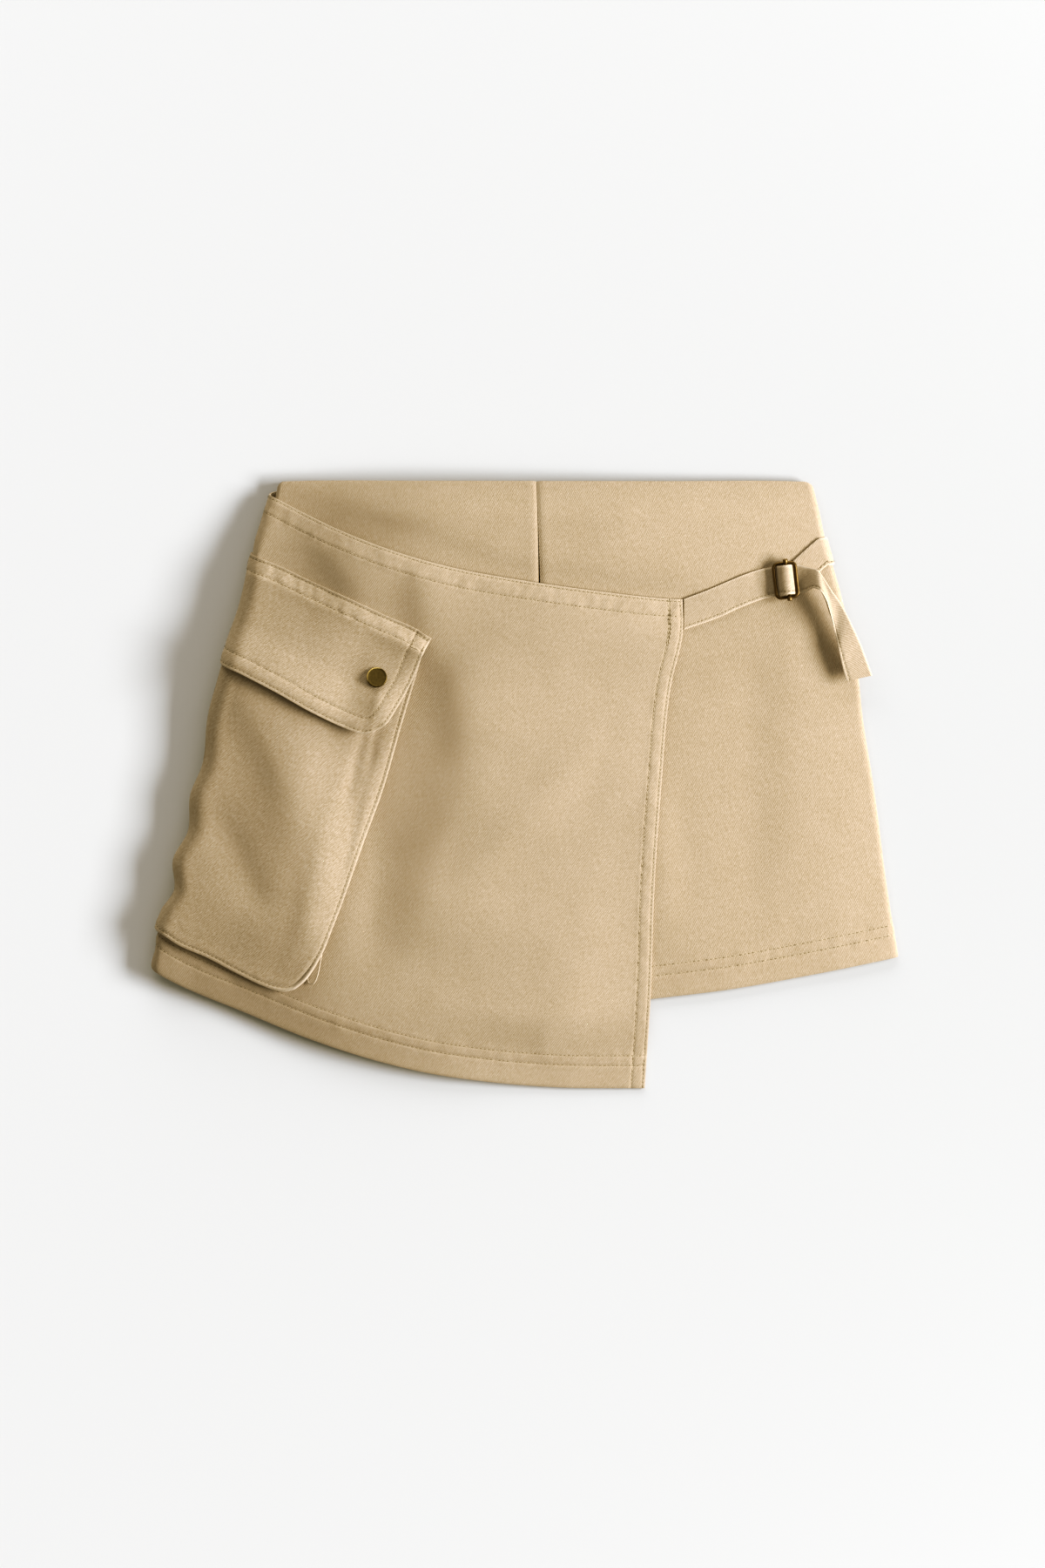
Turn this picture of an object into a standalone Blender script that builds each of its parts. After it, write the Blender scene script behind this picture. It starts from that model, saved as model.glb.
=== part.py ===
"""Wrap skort, laid flat on its back: twill shorts under a wrap panel with a bellows pocket.

+X is across the garment, +Y is up to the waist and +Z is away from the surface it lies on.
All tables are in millimetres; meshes are made in metres.
"""

import math

import bmesh
import bpy
import numpy as np
from mathutils import Vector

MM = 0.001

# Cloth: walls, and the spaces between pieces
CLOTH = 1.2                 # wall of every piece of twill
SEAM = 0.3                  # space between pieces sewn edge to edge
LAYER = CLOTH + 0.5         # from the middle of a wall to the middle of the next one on it

# Heights of the stack
INNER_GAP = 0.8             # between the walls of the shorts' back and front
REAR_DEPTH = 3.6            # pocket depth under the garment, between the middles of its walls
MOUTH_DEPTH = 5.7           # pocket depth at its mouth
RIM_DEPTH = 6.6             # pocket depth along its front and bottom edges
FULL_DEPTH = 10.5           # pocket depth where it stands fullest

# Mesh fineness, in steps
ROLL_STEPS = 4              # from a side fold's outermost line to where the cloth lies flat
SHORTS_STEPS = (8, 17)      # across a panel's flat part, and down it
WRAP_FRONT_ACROSS, WRAP_BACK_ACROSS, WRAP_DOWN = 16, 9, 18
POCKET_FRONT_ACROSS, POCKET_BACK_ACROSS, POCKET_DOWN = 7, 3, 16
FLAP_FRONT_ACROSS, FLAP_BACK_ACROSS, FLAP_DOWN = 8, 3, 7

CENTRE_X = 14.0             # middle line between the two side folds
CENTRE_BACK_X = 11.3        # centre-back seam and crotch


def ease(start, end, value):
    """0 before start, 1 after end, and a soft S between."""
    s = np.clip((value - start) / (end - start), 0.0, 1.0)
    return s * s * (3.0 - 2.0 * s)


def smooth(rows, at):
    """Value, at a place, of the smooth curve through (place, value) rows."""
    keys, values = np.array(rows, float).T
    slopes = np.gradient(values, keys)
    at = np.clip(np.asarray(at, float), keys[0], keys[-1])
    i = np.clip(np.searchsorted(keys, at) - 1, 0, len(keys) - 2)
    span = keys[i + 1] - keys[i]
    s = (at - keys[i]) / span
    start = values[i] * (2 * s**3 - 3 * s**2 + 1) + slopes[i] * span * (s**3 - 2 * s**2 + s)
    end = values[i + 1] * (3 * s**2 - 2 * s**3) + slopes[i + 1] * span * (s**3 - s**2)
    return start + end


class Fold:
    """A side edge, where the cloth turns from the front of the garment to its back.

    A place on the cloth is (w, t): t runs down a straight line just outside the edge, and w
    is the reach in from that line, positive on the front and negative on the back.
    """

    def __init__(self, top, bottom):
        self.top = np.array(top)
        along = np.array(bottom) - self.top
        self.down = along / np.linalg.norm(along)
        inward = np.array([-self.down[1], self.down[0]])
        self.inward = inward * np.sign((CENTRE_X - self.top[0]) * inward[0])

    def plan(self, w, t):
        x = self.top[0] + w * self.inward[0] + t * self.down[0]
        y = self.top[1] + w * self.inward[1] + t * self.down[1]
        return x, y

    def unfold(self, x, y):
        dx, dy = x - self.top[0], y - self.top[1]
        w = dx * self.inward[0] + dy * self.inward[1]
        t = dx * self.down[0] + dy * self.down[1]
        return w, t


class Sheet:
    """Cloth that turns round a fold: how far in its edge lies, how wide it rolls, its heights."""

    def __init__(self, fold, inset, roll, front, back):
        self.fold, self.inset, self.roll = fold, inset, roll
        self.front, self.back = front, back

    def reach(self, t):
        """Where the rolled edge ends and the cloth lies flat."""
        return smooth(self.inset, t) + smooth(self.roll, t)

    def place(self, w, t):
        """Point in space of the middle of the cloth at (w, t)."""
        w, t = np.broadcast_arrays(np.asarray(w, float), np.asarray(t, float))
        inset, roll, reach = smooth(self.inset, t), smooth(self.roll, t), self.reach(t)
        rolled = np.abs(w) < reach
        flat_x, flat_y = self.fold.plan(np.where(rolled, reach, np.abs(w)), t)
        top, bottom = self.front(flat_x, flat_y), self.back(flat_x, flat_y)
        turn = np.clip(w / reach, -1.0, 1.0) * math.pi / 2
        x, y = self.fold.plan(inset + roll * (1.0 - np.cos(turn)), t)
        x, y = np.where(rolled, x, flat_x), np.where(rolled, y, flat_y)
        z = (top + bottom) / 2 + (top - bottom) / 2 * np.sin(turn)
        return np.stack([x, y, z], axis=-1)


# Side folds of the wrap and of the shorts
LEFT = Fold((-174.0, 194.6), (-252.2, -122.0))
SHORTS_RIGHT = Fold((199.9, 201.4), (255.9, -113.6))
SHORTS_LEFT = Fold((-171.9, 201.4), (-227.9, -113.6))

# Largest folds of the cloth: ends x, y; half width; height (a trough is negative)
SHORTS_FOLDS = [
    (158, 108, 150, -100, 13, -1.5),
    (104, 20, 110, -112, 16, 0.9),
    (204, 60, 214, -70, 14, 0.8),
]
WRAP_FOLDS = [
    (-10, 20, 10, -120, 34, 1.5),
    (-62, 60, -74, -60, 14, -0.9),
    (-120, 176, -62, 120, 9, 0.8),
    (-108, -70, -96, -125, 12, 0.9),
    (-84, -60, -70, -118, 11, -0.9),
]
POCKET_FOLDS = [
    (-206, 2, -160, -62, 12, -1.7),
    (-162, -50, -154, -110, 10, -1.3),
    (-140, 20, -132, -40, 14, 0.8),
    (-192, -60, -178, -96, 11, 0.9),
]


def fold_height(table, x, y):
    """Sum of the soft ridges and troughs in a table, each fading out at its ends."""
    total = np.zeros_like(np.asarray(x, float))
    for x0, y0, x1, y1, half_width, height in table:
        dx, dy = x1 - x0, y1 - y0
        length = math.hypot(dx, dy)
        along = ((x - x0) * dx + (y - y0) * dy) / length
        across = ((x - x0) * dy - (y - y0) * dx) / length
        fade = ease(-0.15, 0.3, along / length) * (1.0 - ease(0.7, 1.15, along / length))
        total = total + height * fade * np.exp(-((across / half_width) ** 2))
    return total


# Heights of the middle of each wall over the surface, at a place in plan

def wrap_back(x, y):
    """The wrap's back rests on the surface, held up at the left by the pocket and flap."""
    w, t = LEFT.unfold(x, y)
    pocket = (1.0 - ease(60, 135, w)) * ease(0, 52, t) * (1.0 - ease(290, 355, t))
    flap = (1.0 - ease(55, 125, w)) * ease(-42, 22, t) * (1.0 - ease(105, 170, t))
    return CLOTH / 2 + REAR_DEPTH * pocket + LAYER * flap


def shorts_back(x, y):
    """The shorts' back lies on the wrap's back, and on the surface right of it."""
    return wrap_back(x, y) + LAYER * (1.0 - ease(CENTRE_BACK_X, CENTRE_BACK_X + 75, x))


def shorts_front(x, y):
    """The shorts' front lies on their back, and swells along both sides and over the thigh."""
    w, t = SHORTS_RIGHT.unfold(x, y)
    left_w = SHORTS_LEFT.unfold(x, y)[0]
    sides = 1.5 * (1.0 - ease(8, 55, np.minimum(w, left_w)))
    right_hip = 0.8 * (1.0 - ease(8, 60, w)) * ease(0, 60, t)
    thigh = 1.8 * np.exp(-(((x - 140) / 75) ** 2) - (((y + 10) / 95) ** 2))
    folds = fold_height(SHORTS_FOLDS, x, y) * ease(-5, 40, t)
    return shorts_back(x, y) + CLOTH + INNER_GAP + sides + right_hip + thigh + folds


# Shorts hem below the middle line: distance either side of it, height on the garment
SHORTS_HEM_LINE = [(0, -149.5), (78, -141.8), (171, -128.0), (234, -115.0)]


def wrap_front(x, y):
    """The wrap's front lies on the shorts and drops towards the surface below their hem."""
    w, t = LEFT.unfold(x, y)
    inside = ease(0, 60, 330 - w) * ease(10, 60, t) * (1.0 - ease(290, 345, t))
    over = shorts_front(x, y) + LAYER + (0.6 + fold_height(WRAP_FOLDS, x, y)) * inside
    beyond = smooth(SHORTS_HEM_LINE, np.abs(x - CENTRE_X)) - y
    drop = 0.8 * ease(3, 42, beyond) * ease(15, 85, w)
    return over + (CLOTH / 2 - over) * drop


# Pocket mouth and flap top: down the cloth at the fold line, and more for each mm in from it
MOUTH_START, FLAP_START, POCKET_SLANT = 56.5, 41.5, 0.2
FLAP_RISE = 11.0            # length over which the flap rises from the wrap onto the pocket


def pocket_depth(x, y):
    """Depth of the pocket on the front, between the middles of its face and of the wrap."""
    w, t = LEFT.unfold(x, y)
    below_mouth = t - MOUTH_START - POCKET_SLANT * w
    middle = ease(-2, 50, 126 - w) * ease(-2, 50, 318 - t)
    full = RIM_DEPTH + (FULL_DEPTH - RIM_DEPTH + fold_height(POCKET_FOLDS, x, y)) * middle
    return MOUTH_DEPTH + (full - MOUTH_DEPTH) * ease(-6, 44, below_mouth)


def pocket_front(x, y):
    return wrap_front(x, y) + pocket_depth(x, y)


def pocket_back(x, y):
    w, t = LEFT.unfold(x, y)
    return CLOTH / 2 + LAYER * (1.0 - ease(124, 175, t))


def flap_front(x, y):
    """The flap is sewn down along its top and lies on the pocket below that."""
    w, t = LEFT.unfold(x, y)
    below_top = t - FLAP_START - POCKET_SLANT * w
    return wrap_front(x, y) + LAYER + pocket_depth(x, y) * ease(0, FLAP_RISE, below_top)


def flap_back(x, y):
    return CLOTH / 2 + 0.0 * x


# How far each sheet's outermost line lies in from its fold line, by distance down it
WRAP = Sheet(
    LEFT,
    inset=[(-12, 5.6), (0, 5.6), (18, 4.7), (37, 4.2), (44, 5.2), (60, 8.2), (150, 8.0), (190, 11.0),
           (231, 12.6), (250, 9.5), (272, 12.6), (286, 7.5), (295, 6.0), (301, 3.9), (312, 4.9),
           (322, 4.7), (327, 5.6)],
    roll=[(-12, 3.4), (327, 3.4)],
    front=wrap_front, back=wrap_back)
POCKET = Sheet(
    LEFT,
    inset=[(40, 4.8), (80, 5.5), (104, 3.2), (128, 2.0), (152, 1.5), (187, 5.7), (206, 2.8), (231, 7.0),
           (251, 2.0), (272, 7.4), (286, 2.3), (298, 0.6)],
    roll=[(40, 3.8), (80, 6.4), (298, 7.6)],
    front=pocket_front, back=pocket_back)
FLAP = Sheet(
    LEFT,
    inset=[(40, 3.0), (80, 3.8), (104, 1.5), (120, 1.0)],
    roll=[(40, 5.5), (80, 8.1), (120, 8.6)],
    front=flap_front, back=flap_back)
RIGHT_SIDE = Sheet(
    SHORTS_RIGHT,
    inset=[(-5, 8.9), (20, 7.3), (36, 6.8), (74, 3.0), (133, 1.4), (154, 3.2), (204, 4.5), (278, 7.7),
           (320, 8.6)],
    roll=[(-5, 3.0), (320, 3.0)],
    front=shorts_front, back=shorts_back)
LEFT_SIDE = Sheet(
    SHORTS_LEFT,
    inset=[(-5, 9.2), (320, 9.2)],
    roll=[(-5, 2.4), (320, 2.4)],
    front=shorts_front, back=shorts_back)


def half_panel(sheet, side, top, hem, inner, columns, rows, start=0.0):
    """Grid of cloth points from the fold line (or just off it) in to a panel's inner edge.

    top and hem give t by w, and inner gives w by t; side is 1 for the front, -1 for the back.
    """
    v = np.linspace(0.0, 1.0, rows + 1)[:, None]
    top_corner, hem_corner = inner[0][0], inner[-1][0]
    width = smooth(inner, top_corner + (hem_corner - top_corner) * v)
    fold_t = top[0][1] + (hem[0][1] - top[0][1]) * v
    reach = sheet.reach(fold_t)
    rolled = reach * np.linspace(start, 1.0, ROLL_STEPS + 1)[None, :]
    flat = reach + (width - reach) * np.linspace(0.0, 1.0, columns + 1)[None, 1:]
    u = np.hstack([rolled, flat]) / width
    top_t = smooth(top, u * inner[0][1])
    hem_t = smooth(hem, u * inner[-1][1])
    return sheet.place(side * u * width, top_t + (hem_t - top_t) * v)


# Building

def material(name, colour, roughness, metallic=0.0):
    made = bpy.data.materials.new(name)
    made.use_nodes = True
    shader = made.node_tree.nodes["Principled BSDF"]
    shader.inputs["Base Color"].default_value = (*colour, 1.0)
    shader.inputs["Roughness"].default_value = roughness
    shader.inputs["Metallic"].default_value = metallic
    return made


def add_object(name, mesh, collection, finish):
    made = bpy.data.objects.new(name, mesh)
    made.data.materials.append(finish)
    collection.objects.link(made)
    return made


def cloth_wall(name, grid, collection, finish, thickness=CLOTH):
    """A wall of cloth whose middle runs through a grid of points."""
    rows, columns = grid.shape[:2]
    bm = bmesh.new()
    verts = [bm.verts.new(Vector(point) * MM) for point in grid.reshape(-1, 3)]
    for row in range(rows - 1):
        for column in range(columns - 1):
            corner = row * columns + column
            bm.faces.new([verts[corner], verts[corner + columns],
                          verts[corner + columns + 1], verts[corner + 1]])
    bmesh.ops.recalc_face_normals(bm, faces=bm.faces)
    mesh = bpy.data.meshes.new(name)
    bm.to_mesh(mesh)
    bm.free()
    made = add_object(name, mesh, collection, finish)
    wall = made.modifiers.new("wall", "SOLIDIFY")
    wall.thickness = thickness * MM
    wall.offset = 0.0
    wall.use_even_offset = True
    return made


# Shorts: outline tables

CENTRE_FRONT = [(8.4, 202.1), (9.4, 172.0), (10.7, 133.0), (11.3, 58.0), (11.3, -64.0), (11.3, -67.6)]
INSEAM = [(2.6, -90.0), (7.6, -120.0), (11.6, -148.8)]      # away from the crotch, height
SHORTS_HEM = [(0, 319.5), (12, 320.0), (73, 321.5), (120, 321.4), (166, 319.0)]
SHORTS_START = 0.16         # share of the roll that the side seam leaves bare on each panel
WAIST_DIP = (20.0, -4.3)    # reach in, and distance down the fold line, of the waist's upper corner


def shorts_panel(name, sheet, side, collection, finish):
    """One of the four shorts panels: waist, side, hem, inside leg and centre seam."""
    hand = math.copysign(1.0, sheet.fold.top[0])
    centre = CENTRE_FRONT if side > 0 else [(CENTRE_BACK_X, y) for x, y in CENTRE_FRONT]
    outline = [(x + hand * SEAM / 2, y) for x, y in centre]
    outline += [(CENTRE_BACK_X + hand * out, y) for out, y in INSEAM]
    inner = [sheet.fold.unfold(x, y)[::-1] for x, y in outline]
    top_t, top_w = inner[0]
    dip_w, dip_t = WAIST_DIP
    waist = [(0, 1.5), (12, -2.6), WAIST_DIP, ((dip_w + top_w) / 2, (dip_t + top_t) / 2), (top_w, top_t)]
    hem = SHORTS_HEM + [(inner[-1][1], inner[-1][0])]
    grid = half_panel(sheet, side, waist, hem, inner, *SHORTS_STEPS, SHORTS_START)
    return cloth_wall(name, grid, collection, finish)


# Wrap: from the front edge round the left side to the centre-back seam

WRAP_TOP = [(0, 0.5), (9, 2.2), (25, 6.2), (62, 14.2), (111, 19.4), (135, 19.6), (182, 16.5),
            (229, 11.6), (275, 5.3), (288, 2.8)]
WRAP_HEM = [(0, 325.5), (9, 328.8), (21, 331.7), (71, 339.4), (120, 345.5), (169, 348.8),
            (193, 348.8), (240, 344.7), (285, 337.4), (342, 324.1)]
WRAP_EDGE = [(2.8, 288.3), (22, 293.4), (59, 294.6), (125, 304.2), (199, 317.4), (260, 330.4),
             (324.1, 342.0)]
WRAP_BACK_TOP = [(0, 0.5), (9, -2.6), (60, -18.5), (120, -33.6), (178.6, -48.4)]
WRAP_BACK_HEM = [(0, 325.5), (9, 322.8), (60, 314.5), (130, 305.0), (262.4, 291.0)]
WRAP_BACK_EDGE = [(-48.4, 178.6), (291.0, 262.4)]


def joined(front, back):
    """One grid from the back's inner edge, round the fold, to the front's edge."""
    return np.concatenate([back[:, :0:-1], front], axis=1)


def wrap_panel(collection, finish):
    front = half_panel(WRAP, 1, WRAP_TOP, WRAP_HEM, WRAP_EDGE, WRAP_FRONT_ACROSS, WRAP_DOWN)
    back = half_panel(WRAP, -1, WRAP_BACK_TOP, WRAP_BACK_HEM, WRAP_BACK_EDGE,
                      WRAP_BACK_ACROSS, WRAP_DOWN)
    return cloth_wall("wrap_panel", joined(front, back), collection, finish)


# Pocket: its mouth, bottom and edges, on the front and under the garment

POCKET_MOUTH = [(0, 57.0), (9, 58.6), (25, 61.5), (129.4, 82.4)]
POCKET_BOTTOM = [(0, 297.5), (8, 301.0), (14, 303.6), (40, 308.8), (65, 315.0), (78, 317.8), (89, 318.8),
                 (95, 318.2), (100.8, 315.1)]
POCKET_EDGE = [(82.4, 129.4), (130, 127.3), (172, 125.8), (209, 121.8), (267, 115.9), (291, 112.1),
               (300.5, 109.2), (309.2, 105.3), (315.1, 100.8)]
POCKET_BACK_MOUTH = [(0, 57.0), (9, 55.0), (60, 44.8)]
POCKET_BACK_BOTTOM = [(0, 297.5), (8, 294.0), (30, 289.5), (50, 286.0), (62, 283.0), (68, 279.0)]
POCKET_BACK_EDGE = [(44.8, 60.0), (150, 66.0), (250, 71.5), (268, 71.8), (275, 70.5), (279.0, 68.0)]


def pocket_face(collection, finish):
    front = half_panel(POCKET, 1, POCKET_MOUTH, POCKET_BOTTOM, POCKET_EDGE,
                       POCKET_FRONT_ACROSS, POCKET_DOWN)
    back = half_panel(POCKET, -1, POCKET_BACK_MOUTH, POCKET_BACK_BOTTOM, POCKET_BACK_EDGE,
                      POCKET_BACK_ACROSS, POCKET_DOWN)
    return cloth_wall("pocket_face", joined(front, back), collection, finish)


GUSSET_INSET = 1.2          # from the pocket's edge to the middle of the gusset
GUSSET_FOLD = 0.3           # how far the gusset folds inwards, for each mm of depth
GUSSET_CLEAR = 0.8          # left between the gusset and the cloth it is sewn to
GUSSET_WALL = 1.0


def pocket_outline():
    """Places down the front edge, along the bottom, round the fold and up the rear edge."""
    front_t = np.linspace(POCKET_EDGE[0][0] + 2.0, POCKET_EDGE[-1][0], 15)
    roll = POCKET.reach(POCKET_BOTTOM[0][1])
    rolled = np.linspace(roll, 0.0, ROLL_STEPS + 1)
    bottom_w = np.concatenate([np.linspace(POCKET_BOTTOM[-1][0], roll, 10)[1:-1], rolled])
    rear_w = np.concatenate([rolled[-2::-1], np.linspace(roll, POCKET_BACK_BOTTOM[-1][0], 6)[1:]])
    rear_t = np.linspace(POCKET_BACK_EDGE[-1][0], POCKET_BACK_EDGE[0][0] + 2.0, 12)[1:]
    pieces = [(smooth(POCKET_EDGE, front_t), front_t), (bottom_w, smooth(POCKET_BOTTOM, bottom_w)),
              (-rear_w, smooth(POCKET_BACK_BOTTOM, rear_w)), (-smooth(POCKET_BACK_EDGE, rear_t), rear_t)]
    return np.concatenate([np.column_stack(piece) for piece in pieces])


def pocket_gusset(collection, finish):
    """A strip from the pocket's edges down to the wrap, with one fold along its middle."""
    outline = pocket_outline()
    along = np.gradient(outline, axis=0)
    along /= np.linalg.norm(along, axis=1)[:, None]
    inward = np.column_stack([-along[:, 1], along[:, 0]])
    rim = outline + GUSSET_INSET * inward
    depth = np.linalg.norm(POCKET.place(*rim.T) - WRAP.place(*rim.T), axis=1)
    clear = (CLOTH / 2 + GUSSET_CLEAR) / depth
    rows = []
    for share, folded in ((clear, 0.0), (np.full(len(clear), 0.5), GUSSET_FOLD), (1.0 - clear, 0.0)):
        line = rim + (folded * (depth - 2.5).clip(0.0, 6.0))[:, None] * inward
        base, face = WRAP.place(*line.T), POCKET.place(*line.T)
        rows.append(base + (face - base) * share[:, None])
    return cloth_wall("pocket_gusset", np.array(rows), collection, finish, GUSSET_WALL)


# Flap, sewn to the wrap above the pocket's mouth

FLAP_TOP = [(0, 41.5), (9, 43.4), (22, 45.3), (47.4, 50.5), (97.5, 60.2), (122.5, 64.8), (133.0, 68.1)]
FLAP_BOTTOM = [(0, 116.5), (9, 119.4), (17, 121.3), (42.5, 127.5), (68.2, 134.6), (93.3, 139.6),
               (99.4, 140.4), (105.4, 140.1), (110.7, 137.6)]
FLAP_EDGE = [(68.1, 133.0), (81.5, 129.9), (100, 127.1), (117.3, 122.4), (125.8, 119.7), (131.8, 117.1),
             (137.6, 110.7)]
FLAP_BACK_TOP = [(0, 41.5), (9, 39.0), (62, 28.5)]
FLAP_BACK_BOTTOM = [(0, 116.5), (9, 113.2), (40, 106.5), (56, 103.0), (63, 98.5)]
FLAP_BACK_EDGE = [(28.5, 62.0), (60, 64.5), (88, 66.0), (95, 65.4), (98.5, 63.0)]


def pocket_flap(collection, finish):
    front = half_panel(FLAP, 1, FLAP_TOP, FLAP_BOTTOM, FLAP_EDGE, FLAP_FRONT_ACROSS, FLAP_DOWN)
    back = half_panel(FLAP, -1, FLAP_BACK_TOP, FLAP_BACK_BOTTOM, FLAP_BACK_EDGE,
                      FLAP_BACK_ACROSS, FLAP_DOWN)
    return cloth_wall("pocket_flap", joined(front, back), collection, finish)


def lifted(sheet, w, t, height):
    """Point over the middle of a sheet, moved out square to it, and that direction."""
    step = 0.5
    point = sheet.place(w, t)
    by_w = sheet.place(np.asarray(w) + step, t) - point
    by_t = sheet.place(w, np.asarray(t) + step) - point
    out = np.cross(by_w, by_t)
    out *= np.where(sheet.fold.inward[0] > 0, -1.0, 1.0)
    out /= np.linalg.norm(out, axis=-1, keepdims=True)
    return point + height * out, out


# Press stud: radius and height of its cap's outline, from the middle of its top down

SNAP_PLACE = (104.3, 102.1)
SNAP_CAP = [(0.0, 1.5), (5.6, 1.5), (5.9, 1.9), (6.5, 1.8), (6.8, 1.2), (6.5, 0.3), (5.8, 0.0), (0.0, 0.0)]


def snap_cap(collection, finish):
    profile = bpy.data.meshes.new("snap_cap")
    points = [(radius * MM, 0.0, height * MM) for radius, height in SNAP_CAP]
    profile.from_pydata(points, [(i, i + 1) for i in range(len(points) - 1)], [])
    made = add_object("snap_cap", profile, collection, finish)
    turned = made.modifiers.new("turned", "SCREW")
    turned.angle = 2 * math.pi
    turned.steps = turned.render_steps = 28
    turned.use_merge_vertices = True
    turned.merge_threshold = 0.00001
    point, out = lifted(FLAP, *SNAP_PLACE, CLOTH / 2 + SEAM)
    made.location = Vector(point) * MM
    made.rotation_euler = Vector(out).to_track_quat("Z", "Y").to_euler()
    return made


# Buckle: a rectangular wire frame with a bar lying across it, tilted on the garment

BUCKLE_X, BUCKLE_Y, BUCKLE_TILT = 173.7, 135.4, math.radians(6.7)
WIRE = 2.2                  # thickness of the frame's wire
FRAME_LENGTH, FRAME_WIDTH = 25.0, 16.8
FRAME_CORNER = 3.2          # corner radius along the wire's middle
FRAME_RISE = 5.6            # height of the wire's middle over the middle of the shorts' front
BAR_LENGTH, BAR = 28.0, 2.0
BAR_RISE = FRAME_RISE + WIRE / 2 + SEAM + BAR / 2
BAR_OFFSET = 1.0            # the bar lies this far right of the frame's middle


def buckle_place(across, along, rise):
    """Place on the buckle: across it (along the strap), along its length, and height."""
    x = BUCKLE_X + across * math.cos(BUCKLE_TILT) - along * math.sin(BUCKLE_TILT)
    y = BUCKLE_Y + across * math.sin(BUCKLE_TILT) + along * math.cos(BUCKLE_TILT)
    return x, y, shorts_front(BUCKLE_X, BUCKLE_Y) + rise


def buckle_frame(collection, finish):
    half_x, half_y = (FRAME_WIDTH - WIRE) / 2, (FRAME_LENGTH - WIRE) / 2
    wire = bpy.data.curves.new("buckle_frame", "CURVE")
    wire.dimensions = "3D"
    wire.bevel_depth = WIRE / 2 * MM
    wire.bevel_resolution = 2
    points = []
    for corner in range(4):
        middle_x = (half_x - FRAME_CORNER) * (1, -1, -1, 1)[corner]
        middle_y = (half_y - FRAME_CORNER) * (1, 1, -1, -1)[corner]
        for step in range(5):
            angle = math.pi / 2 * (corner + step / 4)
            points.append((middle_x + FRAME_CORNER * math.cos(angle),
                           middle_y + FRAME_CORNER * math.sin(angle)))
    spline = wire.splines.new("POLY")
    spline.points.add(len(points) - 1)
    spline.use_cyclic_u = True
    for slot, (across, along) in zip(spline.points, points):
        slot.co = (*(Vector(buckle_place(across, along, FRAME_RISE)) * MM), 1.0)
    return add_object("buckle_frame", wire, collection, finish)


def buckle_bar(collection, finish):
    bm = bmesh.new()
    bmesh.ops.create_cone(bm, cap_ends=True, segments=16, radius1=BAR / 2 * MM, radius2=BAR / 2 * MM,
                          depth=BAR_LENGTH * MM)
    mesh = bpy.data.meshes.new("buckle_bar")
    bm.to_mesh(mesh)
    bm.free()
    made = add_object("buckle_bar", mesh, collection, finish)
    made.rotation_euler = (math.pi / 2, 0.0, BUCKLE_TILT)
    made.location = Vector(buckle_place(BAR_OFFSET, 0.0, BAR_RISE)) * MM
    return made


# Strap: from the wrap's corner, under and over the buckle, to its free tail.
# Columns: upper edge x, y; lower edge x, y; rise of each edge over the shorts' front.

STRAP_WIDTH = 19.2
STRAP_RUN = [
    (106.3, 123.0, 106.3, 102.8, 1.7, 1.7),
    (123.4, 129.5, 130.0, 111.2, 1.7, 1.7),
    (134.9, 134.4, 141.7, 116.6, 1.7, 1.7),
    (146.6, 139.2, 153.1, 121.2, 1.7, 1.7),
    (157.6, 142.8, 161.4, 123.9, 1.8, 1.8),
]
# Through the buckle: across it, and rise over the shorts' front
STRAP_LOOP = [(-8.5, 2.4), (-5.6, 3.5), (-4.5, 6.0), (-3.3, 8.4), (-1.2, 9.8), (1.2, 10.2), (3.3, 9.3),
              (4.6, 7.4), (4.9, 5.4), (5.8, 3.6), (8.6, 3.5)]
STRAP_TAIL = [
    (187.1, 144.1, 187.6, 127.9, 5.0, 7.0),
    (191.1, 143.0, 191.7, 129.9, 7.0, 11.5),
    (194.6, 141.8, 196.3, 127.9, 9.0, 15.0),
    (196.6, 139.3, 199.8, 122.1, 9.8, 15.6),
    (199.4, 134.9, 201.6, 117.0, 9.4, 13.4),
    (203.5, 128.5, 203.9, 109.9, 8.2, 9.8),
    (209.3, 120.4, 206.3, 100.6, 6.6, 7.0),
    (216.6, 107.0, 208.9, 89.0, 5.0, 5.0),
    (223.6, 91.9, 211.5, 78.0, 3.6, 3.4),
    (231.1, 72.2, 214.3, 68.7, 2.6, 2.2),
]


def strap_edges():
    """Both edges of the strap, section by section."""
    run = [((ux, uy, shorts_front(ux, uy) + ur), (lx, ly, shorts_front(lx, ly) + lr))
           for ux, uy, lx, ly, ur, lr in STRAP_RUN]
    loop = [(buckle_place(across, STRAP_WIDTH / 2, rise), buckle_place(across, -STRAP_WIDTH / 2, rise))
            for across, rise in STRAP_LOOP]
    tail = [((ux, uy, shorts_front(ux, uy) + ur), (lx, ly, shorts_front(lx, ly) + lr))
            for ux, uy, lx, ly, ur, lr in STRAP_TAIL]
    return np.array(run + loop + tail, float)


def strap(collection, finish):
    edges = strap_edges()
    middle = edges.mean(axis=1, keepdims=True)
    grid = np.concatenate([edges[:, :1], middle, edges[:, 1:]], axis=1)
    return cloth_wall("strap", grid, collection, finish)


# Side tab: from under the buckle, over the shorts, round the side to the side seam.
# Columns: upper edge x, y; lower edge x, y.

TAB_RUN = [
    (178.2, 147.6, 180.4, 129.6),
    (182.5, 151.6, 187.5, 135.0),
    (190.0, 158.4, 195.0, 140.2),
]
TAB_SIDE_UPPER, TAB_SIDE_LOWER = 37.0, 55.5     # down the right fold line
TAB_TURNS = (1.25, 1.0, 0.75, 0.5, 0.3, 0.16)   # shares of the side's roll, from flat to its edge


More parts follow.
